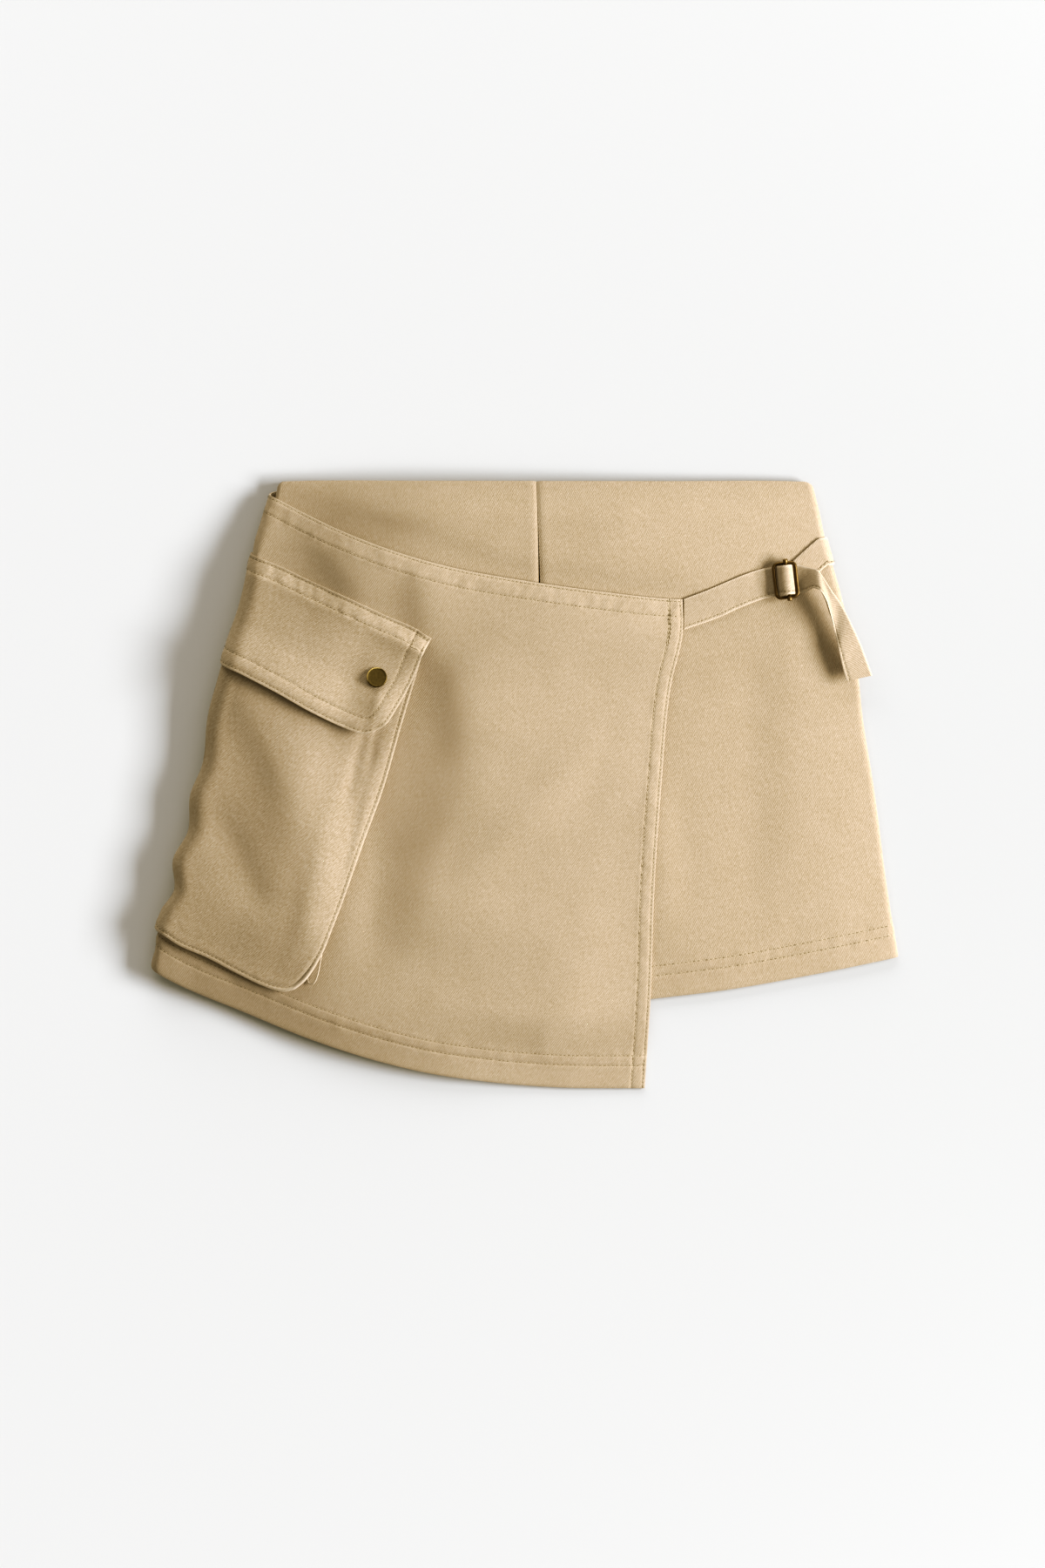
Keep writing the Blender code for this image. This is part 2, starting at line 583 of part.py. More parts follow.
def side_tab(collection, finish):
    upper = [SHORTS_RIGHT.unfold(x, y) for x, y, _, _ in TAB_RUN]
    lower = [SHORTS_RIGHT.unfold(x, y) for _, _, x, y in TAB_RUN]
    for turn in TAB_TURNS:
        upper.append((turn * RIGHT_SIDE.reach(TAB_SIDE_UPPER), TAB_SIDE_UPPER))
        lower.append((turn * RIGHT_SIDE.reach(TAB_SIDE_LOWER), TAB_SIDE_LOWER))
    places = np.array([upper, lower], float)
    places = np.stack([places[0], places.mean(axis=0), places[1]])
    grid, _ = lifted(RIGHT_SIDE, places[..., 0], places[..., 1], LAYER)
    return cloth_wall("side_tab", grid, collection, finish)


def main():
    for old in list(bpy.data.objects):
        bpy.data.objects.remove(old, do_unlink=True)
    skort = bpy.data.collections.new("wrap_skort")
    bpy.context.scene.collection.children.link(skort)
    tan = (0.62, 0.50, 0.33)
    brass = (0.16, 0.12, 0.07)
    for name, sheet, side in (("shorts_front_right", RIGHT_SIDE, 1), ("shorts_front_left", LEFT_SIDE, 1),
                              ("shorts_back_right", RIGHT_SIDE, -1), ("shorts_back_left", LEFT_SIDE, -1)):
        shorts_panel(name, sheet, side, skort, material(name + "_twill", tan, 0.85))
    wrap_panel(skort, material("wrap_twill", tan, 0.85))
    pocket_face(skort, material("pocket_face_twill", tan, 0.85))
    pocket_gusset(skort, material("pocket_gusset_twill", tan, 0.85))
    pocket_flap(skort, material("flap_twill", tan, 0.85))
    snap_cap(skort, material("snap_brass", brass, 0.4, 1.0))
    strap(skort, material("strap_twill", tan, 0.85))
    side_tab(skort, material("tab_twill", tan, 0.85))
    buckle_frame(skort, material("frame_brass", brass, 0.4, 1.0))
    buckle_bar(skort, material("bar_brass", brass, 0.4, 1.0))


main()
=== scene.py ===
"""The wrap skort as it looks: fine cloth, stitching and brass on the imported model's frame.

+X is across the garment, +Y is up to the waist and +Z is away from the floor. Tables and sizes
are in millimetres, as a pattern cutter keeps them, and meshes are made in metres.
"""

import math

import bpy
import numpy as np
from mathutils import Matrix, Vector


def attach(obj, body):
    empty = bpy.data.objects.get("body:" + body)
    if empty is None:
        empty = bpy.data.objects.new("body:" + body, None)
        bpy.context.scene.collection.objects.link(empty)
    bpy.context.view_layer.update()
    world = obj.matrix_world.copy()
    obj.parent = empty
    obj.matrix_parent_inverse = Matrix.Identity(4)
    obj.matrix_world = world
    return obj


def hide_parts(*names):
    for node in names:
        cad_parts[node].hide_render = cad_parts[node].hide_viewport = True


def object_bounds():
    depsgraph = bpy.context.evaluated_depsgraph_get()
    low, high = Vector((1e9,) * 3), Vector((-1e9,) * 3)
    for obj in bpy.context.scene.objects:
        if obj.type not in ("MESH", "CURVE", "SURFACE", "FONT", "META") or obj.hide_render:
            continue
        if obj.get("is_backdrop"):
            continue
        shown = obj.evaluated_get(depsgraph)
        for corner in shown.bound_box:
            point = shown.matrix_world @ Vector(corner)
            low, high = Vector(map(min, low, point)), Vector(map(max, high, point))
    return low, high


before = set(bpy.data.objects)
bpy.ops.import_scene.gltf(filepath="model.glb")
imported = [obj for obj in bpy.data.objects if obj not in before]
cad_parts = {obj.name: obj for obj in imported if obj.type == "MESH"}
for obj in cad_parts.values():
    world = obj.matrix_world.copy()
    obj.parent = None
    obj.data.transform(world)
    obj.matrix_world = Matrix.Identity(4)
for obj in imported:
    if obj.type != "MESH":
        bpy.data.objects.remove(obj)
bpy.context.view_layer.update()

# ----------------------------------------
# Floor, camera and light: a flat lay seen from straight above on pale paper. A soft lamp stands
# low on the right, so each fold is lit on its right side, a weaker one above the waist, and white
# walls fill in the shadows.

MM = 0.001
WALLS_SHARE = 0.28  # light of the white walls on the floor, for a white of 1
# Lamps: azimuth from +X and height in degrees, distance, width, height, light on the floor
LAMPS = [(-2.0, 27.0, 1.55, 1.03, 0.46, 0.95), (95.0, 18.0, 2.6, 3.0, 1.4, 0.20)]
PAPER = 0.658  # how bright the paper is to look
VIEW_PLACE = (-0.0009, 0.0003, 2.9)
VIEW_LENS, VIEW_FILM = 100.0, 36.0


def feed(tree, made, inputs):
    """Sets a node's inputs, each to a plain value or to another node's output."""
    for name, value in inputs.items():
        if isinstance(value, bpy.types.NodeSocket):
            tree.links.new(value, made.inputs[name])
        else:
            made.inputs[name].default_value = value
    return made.outputs


def node(tree, kind, inputs, **settings):
    """A new shader node with its inputs and settings; gives its outputs."""
    made = tree.nodes.new("ShaderNode" + kind)
    for name, value in settings.items():
        setattr(made, name, value)
    return feed(tree, made, inputs)


def compute(tree, operation, *inputs):
    """The result of a sum or product of values and outputs; A times B plus C for MULTIPLY_ADD."""
    return node(tree, "Math", dict(enumerate(inputs)), operation=operation)["Value"]


def new_material(name):
    made = bpy.data.materials.new(name)
    made.use_nodes = True
    return made, made.node_tree, made.node_tree.nodes["Principled BSDF"]


def added(add_shape, name, place=(0.0, 0.0, 0.0), **settings):
    """A new basic mesh, the only one selected."""
    bpy.ops.object.select_all(action="DESELECT")
    add_shape(location=place, **settings)
    piece = bpy.context.object
    piece.name = name
    return piece


floor = added(bpy.ops.mesh.primitive_plane_add, "paper_floor", (0.0, 0.0, -0.0001), size=9.0)
paper, tree, shader = new_material("pale_paper")
place = node(tree, "TexCoord", {})["Object"]
light_there = WALLS_SHARE
for azimuth, height, distance, width, depth, share in LAMPS:
    around, up = math.radians(azimuth), math.radians(height)
    low, high = math.cos(up), math.sin(up)
    lamp_place = distance * Vector((low * math.cos(around), low * math.sin(around), high))
    bpy.ops.object.light_add(type="AREA", location=lamp_place)
    lamp = bpy.context.object
    lamp.rotation_euler = (-lamp_place).to_track_quat("-Z", "Y").to_euler()
    lamp.data.shape = "RECTANGLE"
    lamp.data.size, lamp.data.size_y = width, depth
    spread = width * depth / math.pi
    lamp.data.energy = share * math.pi ** 2 * (distance ** 2 + spread) * distance / lamp_place.z
    # the paper grows paler away from each lamp, so that it looks even
    reach = node(tree, "VectorMath", {0: place, 1: lamp_place}, operation="DISTANCE")["Value"]
    near = compute(tree, "POWER", compute(tree, "MULTIPLY_ADD", reach, reach, spread), -2.0)
    ahead = node(tree, "VectorMath", {0: place, 1: lamp_place / distance}, operation="DOT_PRODUCT")
    falloff = compute(tree, "MULTIPLY", near, compute(tree, "SUBTRACT", distance, ahead["Value"]))
    light_there = compute(tree, "MULTIPLY_ADD", falloff,
                          share * (distance ** 2 + spread) ** 2 / distance, light_there)
feed(tree, shader, {"Base Color": compute(tree, "DIVIDE", PAPER, light_there),
                    "Roughness": 0.95, "Specular IOR Level": 0.0})
floor.data.materials.append(paper)
floor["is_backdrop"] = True

bpy.ops.object.camera_add(location=VIEW_PLACE, rotation=(0.0, 0.0, 0.0))
camera = bpy.context.object
camera.data.type = "PERSP"
camera.data.lens, camera.data.sensor_width = VIEW_LENS, VIEW_FILM
scene = bpy.context.scene
scene.camera = camera
scene.world = bpy.data.worlds.new("white_walls")
scene.world.use_nodes = True
walls = scene.world.node_tree
feed(walls, walls.nodes["Background"], {"Color": (1.0, 1.0, 1.0, 1.0), "Strength": WALLS_SHARE})
scene.view_settings.view_transform = "Standard"
scene.view_settings.look = "High Contrast"

# The camera's response: its shadows are a little warmer than its lights
RESPONSE = {0: [(0.15, 0.165), (0.28, 0.300), (0.43, 0.438)],
            2: [(0.10, 0.068), (0.174, 0.130), (0.27, 0.233), (0.38, 0.358), (0.50, 0.491)]}
scene.view_settings.use_curve_mapping = True
response = scene.view_settings.curve_mapping
for channel, points in RESPONSE.items():
    for value, seen in points:
        response.curves[channel].points.new(value, seen)
response.update()

# ----------------------------------------
# Shorts: four panels of cotton twill, sewn at the centre, the sides and the inside legs, with a
# turned waist edge and a twin-needle hem. Their back lies on the back of the wrap.

CLOTH = 1.2  # wall of the twill, doubled where it is sewn
SEAM = 0.3  # space between pieces sewn edge to edge
LAYER = CLOTH + 0.5  # from the middle of a wall to the middle of the next one on it
INNER_GAP = 0.8  # between the walls of the shorts' back and front
REAR_DEPTH = 3.6  # pocket depth under the garment
CENTRE_X = 14.0  # middle line between the two side folds
CENTRE_BACK_X = 11.3  # centre-back seam and crotch


def ease(start, end, value):
    """0 before start, 1 after end, and a soft S between."""
    s = np.clip((value - start) / (end - start), 0.0, 1.0)
    return s * s * (3.0 - 2.0 * s)


def hump(middle, half_width, value):
    """1 at the middle, falling softly to 0 about two half widths away."""
    return np.exp(-(((value - middle) / half_width) ** 2))


def smooth(rows, at):
    """Value, at a place, of the smooth curve through (place, value) rows."""
    keys, values = np.array(rows, float).T
    slopes = np.gradient(values, keys)
    at = np.clip(np.asarray(at, float), keys[0], keys[-1])
    i = np.clip(np.searchsorted(keys, at) - 1, 0, len(keys) - 2)
    span = keys[i + 1] - keys[i]
    s = (at - keys[i]) / span
    start = values[i] * (2 * s**3 - 3 * s**2 + 1) + slopes[i] * span * (s**3 - 2 * s**2 + s)
    end = values[i + 1] * (3 * s**2 - 2 * s**3) + slopes[i + 1] * span * (s**3 - s**2)
    return start + end


def smooth_line(keys, points, at):
    """Points, at places, of the smooth line through points at key places."""
    columns = np.transpose(points)
    return np.stack([smooth(np.column_stack([keys, column]), at) for column in columns], axis=-1)


def unit(vectors):
    return vectors / np.linalg.norm(vectors, axis=-1, keepdims=True)


def noise(x, y, seed):
    """Smooth wandering value between -1 and 1, with about one swell in every unit."""
    table = np.random.default_rng(seed).uniform(-1.0, 1.0, (64, 64))
    x, y = np.broadcast_arrays(np.asarray(x, float), np.asarray(y, float))
    i, j = np.floor(x).astype(int), np.floor(y).astype(int)
    s, r = ease(0, 1, x - i), ease(0, 1, y - j)
    near = table[j % 64, i % 64] * (1 - s) + table[j % 64, (i + 1) % 64] * s
    far = table[(j + 1) % 64, i % 64] * (1 - s) + table[(j + 1) % 64, (i + 1) % 64] * s
    return near * (1 - r) + far * r


class Fold:
    """A side edge, where the cloth turns from the front of the garment to its back.

    A place on the cloth is (w, t): t runs down a straight line just outside the edge, and w
    is the reach in from that line, positive on the front and negative on the back.
    """

    def __init__(self, top, bottom):
        self.top = np.array(top)
        along = np.array(bottom) - self.top
        self.down = along / np.linalg.norm(along)
        inward = np.array([-self.down[1], self.down[0]])
        self.inward = inward * np.sign((CENTRE_X - self.top[0]) * inward[0])

    def plan(self, w, t):
        x = self.top[0] + w * self.inward[0] + t * self.down[0]
        y = self.top[1] + w * self.inward[1] + t * self.down[1]
        return x, y

    def unfold(self, x, y):
        dx, dy = x - self.top[0], y - self.top[1]
        w = dx * self.inward[0] + dy * self.inward[1]
        t = dx * self.down[0] + dy * self.down[1]
        return w, t


class Sheet:
    """Cloth that turns round a fold: how far in its edge lies, how wide it rolls, its heights.

    Its outline is top, hem and edge, each a pair for its front and its back: top and hem give
    t by w, and the edge gives w by t. Its surface(w, t) gives two things: the small heights of
    hems, stitch rows and puckers, and how pale the cloth is painted: partly rubbed wear, partly
    a painted highlight where a turned edge catches the light.
    """

    def __init__(self, fold, inset, roll, front, back):
        self.fold, self.inset, self.roll = fold, inset, roll
        self.front, self.back = front, back
        self.hand = -1.0 if fold.inward[0] > 0 else 1.0

    def reach(self, t):
        """Where the rolled edge ends and the cloth lies flat."""
        return smooth(self.inset, t) + smooth(self.roll, t)

    def place(self, w, t):
        """Point in space of the middle of the cloth at (w, t), before its seams pull it in."""
        w, t = np.broadcast_arrays(np.asarray(w, float), np.asarray(t, float))
        inset, roll, reach = smooth(self.inset, t), smooth(self.roll, t), self.reach(t)
        rolled = np.abs(w) < reach
        flat_x, flat_y = self.fold.plan(np.where(rolled, reach, np.abs(w)), t)
        top, bottom = self.front(flat_x, flat_y), self.back(flat_x, flat_y)
        turn = np.clip(w / reach, -1.0, 1.0) * math.pi / 2
        x, y = self.fold.plan(inset + roll * (1.0 - np.cos(turn)), t)
        x, y = np.where(rolled, x, flat_x), np.where(rolled, y, flat_y)
        z = (top + bottom) / 2 + (top - bottom) / 2 * np.sin(turn)
        return np.stack([x, y, z], axis=-1)

    def lifted(self, w, t, height):
        """Point at a height over the middle of the sewn cloth, and the way out of it there."""
        step = 0.4
        by_w = self.place(w + step, t) - self.place(w - step, t)
        by_t = self.place(w, t + step) - self.place(w, t - step)
        out = unit(np.cross(by_w, by_t) * self.hand)
        return self.place(w, t) + (height + self.surface(w, t)[0])[..., None] * out, out

    def pattern(self, w, t):
        """The cloth's own flat plane: the front as it lies, and the back unfolded beside it."""
        return np.stack(self.fold.plan(w, t), axis=-1)

    def distances(self, w, t):
        """Distances in from the top, the hem and the edge."""
        front, back = self.edge
        edge = np.where(w > 0, from_edge(front, w, t), from_edge(back, w, t))
        return from_line(self.top, w, t), -from_line(self.hem, w, t), edge


# Side folds of the wrap and of the shorts
LEFT = Fold((-174.0, 194.6), (-252.2, -122.0))
SHORTS_RIGHT = Fold((199.9, 201.4), (255.9, -113.6))
SHORTS_LEFT = Fold((-171.9, 201.4), (-227.9, -113.6))

# Folds of the cloth. Columns: x, y at each end; half width on its left and right; height
SHORTS_FOLDS = [
    (-50, 300, -57, 94, 73, 184, 16.5),
    (-118, 250, -100, 90, 44, 90, 4.8),
    (148, 118, 146, -90, 90, 22, -1.6),
    (78, 240, 72, 126, 42, 130, 3.2),
    (88, 6, 93, -108, 24, 12, 1.2),
    (-200, 206, 10, 135, 26, 8, -1.1),
    (-60, 150, 140, 119, 26, 8, -1.1),
    (84, 115, 186, 152, 8, 22, -1.6),
]


def fold_height(table, x, y):
    """Sum of the soft ridges and troughs in a table, each fading out at its ends."""
    total = np.zeros_like(np.asarray(x, float))
    for x0, y0, x1, y1, left, right, height in table:
        dx, dy = x1 - x0, y1 - y0
        length = math.hypot(dx, dy)
        along = ((x - x0) * dx + (y - y0) * dy) / length
        across = ((x - x0) * dy - (y - y0) * dx) / length
        across = across * (1.0 if dy > 0 else -1.0)
        fade = ease(-0.15, 0.3, along / length) * (1.0 - ease(0.7, 1.15, along / length))
        total = total + height * fade * hump(0, np.where(across < 0, left, right), across)
    return total


def wrap_back(x, y):
    """The wrap's back rests on the floor, held up at the left by the pocket and flap."""
    w, t = LEFT.unfold(x, y)
    pocket = (1.0 - ease(60, 135, w)) * ease(0, 52, t) * (1.0 - ease(290, 355, t))
    flap = (1.0 - ease(55, 125, w)) * ease(-42, 22, t) * (1.0 - ease(105, 170, t))
    return CLOTH / 2 + REAR_DEPTH * pocket + LAYER * flap


def shorts_back(x, y):
    return wrap_back(x, y) + LAYER * (1.0 - ease(CENTRE_BACK_X, CENTRE_BACK_X + 75, x))


SIDE_SWELL, LEFT_SWELL, THIGH_SWELL = 0.8, 1.4, 1.8
WAIST_CALM = 42.0  # length below the waist over which the folds reach their height


def shorts_front(x, y):
    """The shorts' front lies on their back. It swells a little beside its right fold, at its
    left one and over the thigh."""
    w, t = SHORTS_RIGHT.unfold(x, y)
    left_w = SHORTS_LEFT.unfold(x, y)[0]
    sides = SIDE_SWELL * hump(36, 40, w) * ease(-30, 60, t) + LEFT_SWELL * hump(0, 30, left_w)
    thigh = THIGH_SWELL * hump(104, 58, x) * hump(0, 110, y)
    folds = fold_height(SHORTS_FOLDS, x, y) * ease(-16, WAIST_CALM - 16, SHORTS_RIGHT.top[1] - y)
    return shorts_back(x, y) + CLOTH + INNER_GAP + sides + thigh + folds


RIGHT_SIDE = Sheet(
    SHORTS_RIGHT,
    inset=[(-5, 8.9), (20, 7.3), (36, 6.8), (74, 2.8), (133, 0.7), (154, 2.2), (204, 3.4),
           (278, 6.4), (320, 7.2)],
    roll=[(-5, 4.0), (320, 4.0)],
    front=shorts_front, back=shorts_back)
LEFT_SIDE = Sheet(
    SHORTS_LEFT,
    inset=[(-5, 9.2), (320, 9.2)],
    roll=[(-5, 2.4), (320, 2.4)],
    front=shorts_front, back=shorts_back)


def from_line(pair, w, t):
    """Distance square to a line across the front and the back, positive down from it."""
    front, back = pair

    def line(reach):
        return np.where(reach < 0, smooth(back, -reach), smooth(front, reach))
    slope = (line(w + 2.0) - line(w - 2.0)) / 4.0
    return (t - line(w)) / np.hypot(1.0, slope)


def slant(edge, t):
    """Length of an edge that runs down the cloth, for each mm down."""
    return np.hypot(1.0, (smooth(edge, t + 2.0) - smooth(edge, t - 2.0)) / 4.0)


def from_edge(edge, w, t):
    """Distance in from an edge that runs down the cloth."""
    return (smooth(edge, t) - np.abs(w)) / slant(edge, t)


STITCH_PULL, EDGE_ROUND = 0.34, 0.35  # depth of a stitch row, and of a turned edge's bend
HEM_ROWS, HEM_TURN = (15.0, 21.5), 0.30  # twin-needle rows up from the hem; its extra ply
HEM_PUCKER = 0.22  # height of its puckers


def stitch_dip(distance, row):
    """A row of stitches draws the cloth in along itself."""
    return -STITCH_PULL * hump(row, 0.75, distance)


def turned_edge(distance):
    """Cloth rounds over at an edge that was turned under."""
    return -EDGE_ROUND * hump(0.0, 0.7, distance)


def pucker(along, distance, low, high, seed):
    """Small uneven puckers square to a seam, between two distances from it."""
    band = ease(low - 1.5, low + 1.5, distance) * (1.0 - ease(high - 1.5, high + 1.5, distance))
    return band * (noise(along / 3.8 + distance / 9.0, distance / 14.0, seed)
                   + 0.6 * noise(along / 2.2 - distance / 12.0, distance / 9.0, seed + 1))


def hem_relief(distance, along, seed):
    """A hem turned up twice: thicker to its upper row, and puckered between its rows."""
    body = HEM_TURN * (1.0 - ease(21.0, 24.0, distance)) + turned_edge(distance)
    rows = stitch_dip(distance, HEM_ROWS[0]) + stitch_dip(distance, HEM_ROWS[1])
    return body + rows + HEM_PUCKER * pucker(along, distance, 12.0, 25.0, seed)


def stations(first, last, steps):
    """Fixed distances and shares of a length: close lines near its ends, even ones between."""
    first, last = np.array(first, float), np.array(last, float)
    middle = np.linspace(0.0, 1.0, steps + 1)[1:-1]
    fixed = np.concatenate([first, first[-1] - middle * (first[-1] + last[-1]), -last[::-1]])
    share = np.concatenate([0.0 * first, middle, 1.0 + 0.0 * last])
    return fixed, share


# Lines across the cloth close to its edges, where relief is fine
PLAIN_LINES = [0.0, 0.4, 0.9, 1.6, 2.6]
NEAR_ROW = [0.0, 0.4, 0.8, 1.2, 1.6, 2.0]
ROW_LINES = NEAR_ROW + [2.5, 3.2, 4.2]
HEM_LINES = [0.0, 0.4, 0.9, 1.7, 3.2, 5.4, 7.8, 10.2, 12.2, 13.4, 14.2, 14.7, 15.3, 15.9, 16.8,
             18.2, 19.6, 20.6, 21.2, 21.8, 22.6, 23.8, 25.6, 28.0]
ROLL_STEPS = 9


def panel_places(sheet, side, across, down, lines, start=0.0):
    """(w, t) of a grid on a panel, from the fold line (or just off it) in to its inner edge.

    side is 1 for the front and -1 for the back; lines are the fine lines inside the top, the
    hem and the edge.
    """
    top, hem, inner = (pair[side < 0] for pair in (sheet.top, sheet.hem, sheet.edge))
    top_lines, hem_lines, edge_lines = lines
    fixed, share = (column[:, None] for column in stations(top_lines, hem_lines, down))
    width = smooth(inner, inner[0][0] + fixed + share * (inner[-1][0] - inner[0][0]))
    reach = sheet.reach(top[0][1] + fixed + share * (hem[0][1] - top[0][1]))
    rolled = reach * np.linspace(start, 1.0, ROLL_STEPS + 1)[None, :]
    in_fixed, in_share = stations([0.0], edge_lines, across)
    flat = reach + in_fixed[None, 1:] + in_share[None, 1:] * (width - reach)
    w = np.hstack([rolled, flat])
    top_t = smooth(top, w / width * inner[0][1])
    hem_t = smooth(hem, w / width * inner[-1][1])
    return side * w, top_t + fixed + share * (hem_t - top_t)


def finished(piece, finish, slot, *replaced):
    """Gives a piece its finish and its place on the model."""
    piece.data.materials.clear()
    piece.data.materials.append(finish)
    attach(piece, "root")
    if replaced:
        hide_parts(*replaced)
    return piece


def paint_wear_and_highlight(piece, wear_and_highlight):
    """Stores, between 0 and 1, how pale or bright each vertex is painted: rubbed wear, and painted
    highlight on cloth rims and on the snap's rim.
    """
    layer = piece.data.attributes.new("wear_and_highlight", "FLOAT", "POINT")
    layer.data.foreach_set("value", np.asarray(wear_and_highlight, np.float32))


def cloth_piece(name, points, pattern, wear_and_highlight=0.0, wall=CLOTH, rounding=0.35):
    """A wall of cloth through a grid of points, with its place in the cut pattern as its UV."""
    rows, columns = points.shape[:2]
    points[..., 2] = np.maximum(points[..., 2], wall / 2)  # its underside rests on the floor
    piece = added(bpy.ops.mesh.primitive_grid_add, name, x_subdivisions=columns - 1,
                  y_subdivisions=rows - 1, size=1.0)
    piece.data.name = name
    piece.data.vertices.foreach_set("co", (points[::-1] * MM).astype(np.float32).ravel())
    corners = np.empty(len(piece.data.loops), int)
    piece.data.loops.foreach_get("vertex_index", corners)
    uv = (pattern[::-1] * MM).reshape(-1, 2)[corners]
    piece.data.uv_layers[0].name = "pattern"
    piece.data.uv_layers[0].uv.foreach_set("vector", uv.astype(np.float32).ravel())
    paint_wear_and_highlight(piece, (wear_and_highlight + np.zeros((rows, columns)))[::-1].ravel())
    piece.data.update()
    solid = piece.modifiers.new("wall", "SOLIDIFY")
    solid.thickness, solid.offset = wall * MM, 0.0
    round_edge = piece.modifiers.new("rounded edge", "BEVEL")
    round_edge.width, round_edge.segments = rounding * MM, 2
    round_edge.limit_method, round_edge.angle_limit = "ANGLE", math.radians(55)
    for modifier in (solid, round_edge):
        bpy.ops.object.modifier_apply(modifier=modifier.name)
    bpy.ops.object.shade_smooth()
    return piece


def sewn_piece(name, sheet, w, t):
    """A wall of cloth through a grid of (w, t) places on a sheet."""
    return cloth_piece(name, sheet.lifted(w, t, 0.0 * w)[0], sheet.pattern(w, t),
                       sheet.surface(w, t)[1])


def run_along(points):
    """Length of the way to each point of a line."""
    return np.concatenate([[0.0], np.cumsum(np.linalg.norm(np.diff(points, axis=0), axis=1))])


# Twill: cotton in fine diagonal ribs, matt, with a slight bloom where light grazes it.
# Its ribs rise to the right; each piece is turned as it was cut.

TWILL_DARK, TWILL_LIGHT = (0.236, 0.182, 0.127, 1.0), (0.390, 0.323, 0.263, 1.0)
# Pale colour painted on rims: partly rubbed wear, partly a painted highlight where a turned edge
# catches the light
TWILL_WEAR_AND_HIGHLIGHT = (0.52, 0.44, 0.36, 1.0)
RIB = 1.15  # from one diagonal rib to the next
RIB_TONE, YARN_TONE, CLOUD_TONE = 0.22, 2.10, 0.21  # how much each changes the tone


def mixed(tree, share, one, other):
    """A mix of two colours."""
    return node(tree, "Mix", {"Factor": share, "A": one, "B": other}, data_type="RGBA")["Result"]


def stored(tree, name):
    """A value stored on the mesh."""
    return node(tree, "Attribute", {}, attribute_name=name)["Fac"]


def twill(name, angle, grain=1.0, tint_and_shade=0.29):
    """Twill with its ribs at an angle, its yarn more or less uneven, darker for a lower
    tint_and_shade: the cloth's own tone, set lower on the shorts as painted shade.
    """
    made, tree, shader = new_material(name)
    pattern = node(tree, "UVMap", {}, uv_map="pattern")["UV"]
    turn = (0.0, 0.0, math.radians(90.0 - angle))
    turned = node(tree, "Mapping", {"Vector": pattern, "Rotation": turn})["Vector"]
    ribs = node(tree, "TexWave", {"Vector": turned, "Scale": math.pi / (10.0 * RIB * MM),
                                  "Distortion": 1.7, "Detail": 2.0, "Detail Scale": 1.4})["Fac"]
    drawn_out = node(tree, "Mapping", {"Vector": turned, "Scale": (2.2, 0.7, 1.0)})["Vector"]
    yarn = node(tree, "TexNoise", {"Vector": drawn_out, "Scale": 420.0, "Detail": 4.0,
                                   "Roughness": 0.95})["Fac"]
    cloud = node(tree, "TexNoise", {"Vector": pattern, "Scale": 45.0, "Detail": 2.0})["Fac"]
    tone = compute(tree, "MULTIPLY_ADD", ribs, RIB_TONE, tint_and_shade - YARN_TONE / 2 * grain)
    tone = compute(tree, "MULTIPLY_ADD", yarn, YARN_TONE * grain, tone)
    tone = compute(tree, "MULTIPLY_ADD", cloud, CLOUD_TONE, tone)
    cloth = mixed(tree, tone, TWILL_DARK, TWILL_LIGHT)
    # mixes in the pale rim colour: rubbed wear and painted highlight
    colour = mixed(tree, stored(tree, "wear_and_highlight"), cloth, TWILL_WEAR_AND_HIGHLIGHT)
    surface = compute(tree, "MULTIPLY_ADD", yarn, 1.8, ribs)
    bump = node(tree, "Bump", {"Height": surface, "Strength": 0.5, "Distance": 0.00016})["Normal"]
    feed(tree, shader, {"Base Color": colour, "Normal": bump, "Roughness": 0.88,
                        "Specular IOR Level": 0.25, "Sheen Weight": 0.16, "Sheen Roughness": 0.45,
                        "Sheen Tint": (1.0, 0.93, 0.80, 1.0)})
    return made


# Thread: polyester of the cloth's colour. After each stitch it dives into a needle hole, whose
# shade is painted as a small flat dark bead.
THREAD_TOP, THREAD_HOLE_SHADE = (0.31, 0.25, 0.18, 1.0), (0.11, 0.08, 0.042, 1.0)
STITCH = 2.8  # from one stitch to the next
STITCH_SIZE = (2.0, 0.6, 0.42)
HOLE_SHADE_SIZE, HOLE_SHADE_TURN = (1.45, 0.6, 0.24), 14.0  # painted shade of a needle hole, slanting a little across the row, in degrees

thread, tree, shader = new_material("thread")
feed(tree, shader, {"Base Color": mixed(tree, stored(tree, "hole_shade"), THREAD_TOP, THREAD_HOLE_SHADE),
                    "Roughness": 0.6, "Sheen Weight": 0.1})

stitch_points, stitch_faces, stitch_hole_shade = [], [], []
# a light stitch bead, then a flat dark bead of painted shade for the needle hole
for size, turn, at, rings, dark in ((STITCH_SIZE, 0.0, 0.0, 5, 0.0),
                                    (HOLE_SHADE_SIZE, HOLE_SHADE_TURN, STITCH / 2, 3, 1.0)):
    bead = added(bpy.ops.mesh.primitive_uv_sphere_add, "bead", segments=6, ring_count=rings,
                 radius=0.5, rotation=(0.0, math.pi / 2, 0.0))
    bpy.ops.object.transform_apply(location=False, rotation=True, scale=False)
    bead.scale = size
    bead.rotation_euler.z = math.radians(turn)
    bead.location.x = at
    bpy.ops.object.transform_apply(location=True, rotation=True, scale=True)
    first = len(stitch_points)
    stitch_points += [tuple(vertex.co) for vertex in bead.data.vertices]
    stitch_faces += [[first + corner for corner in face.vertices] for face in bead.data.polygons]
    stitch_hole_shade += [dark] * len(bead.data.vertices)
    bpy.data.objects.remove(bead, do_unlink=True)
stitch_points = np.array(stitch_points)


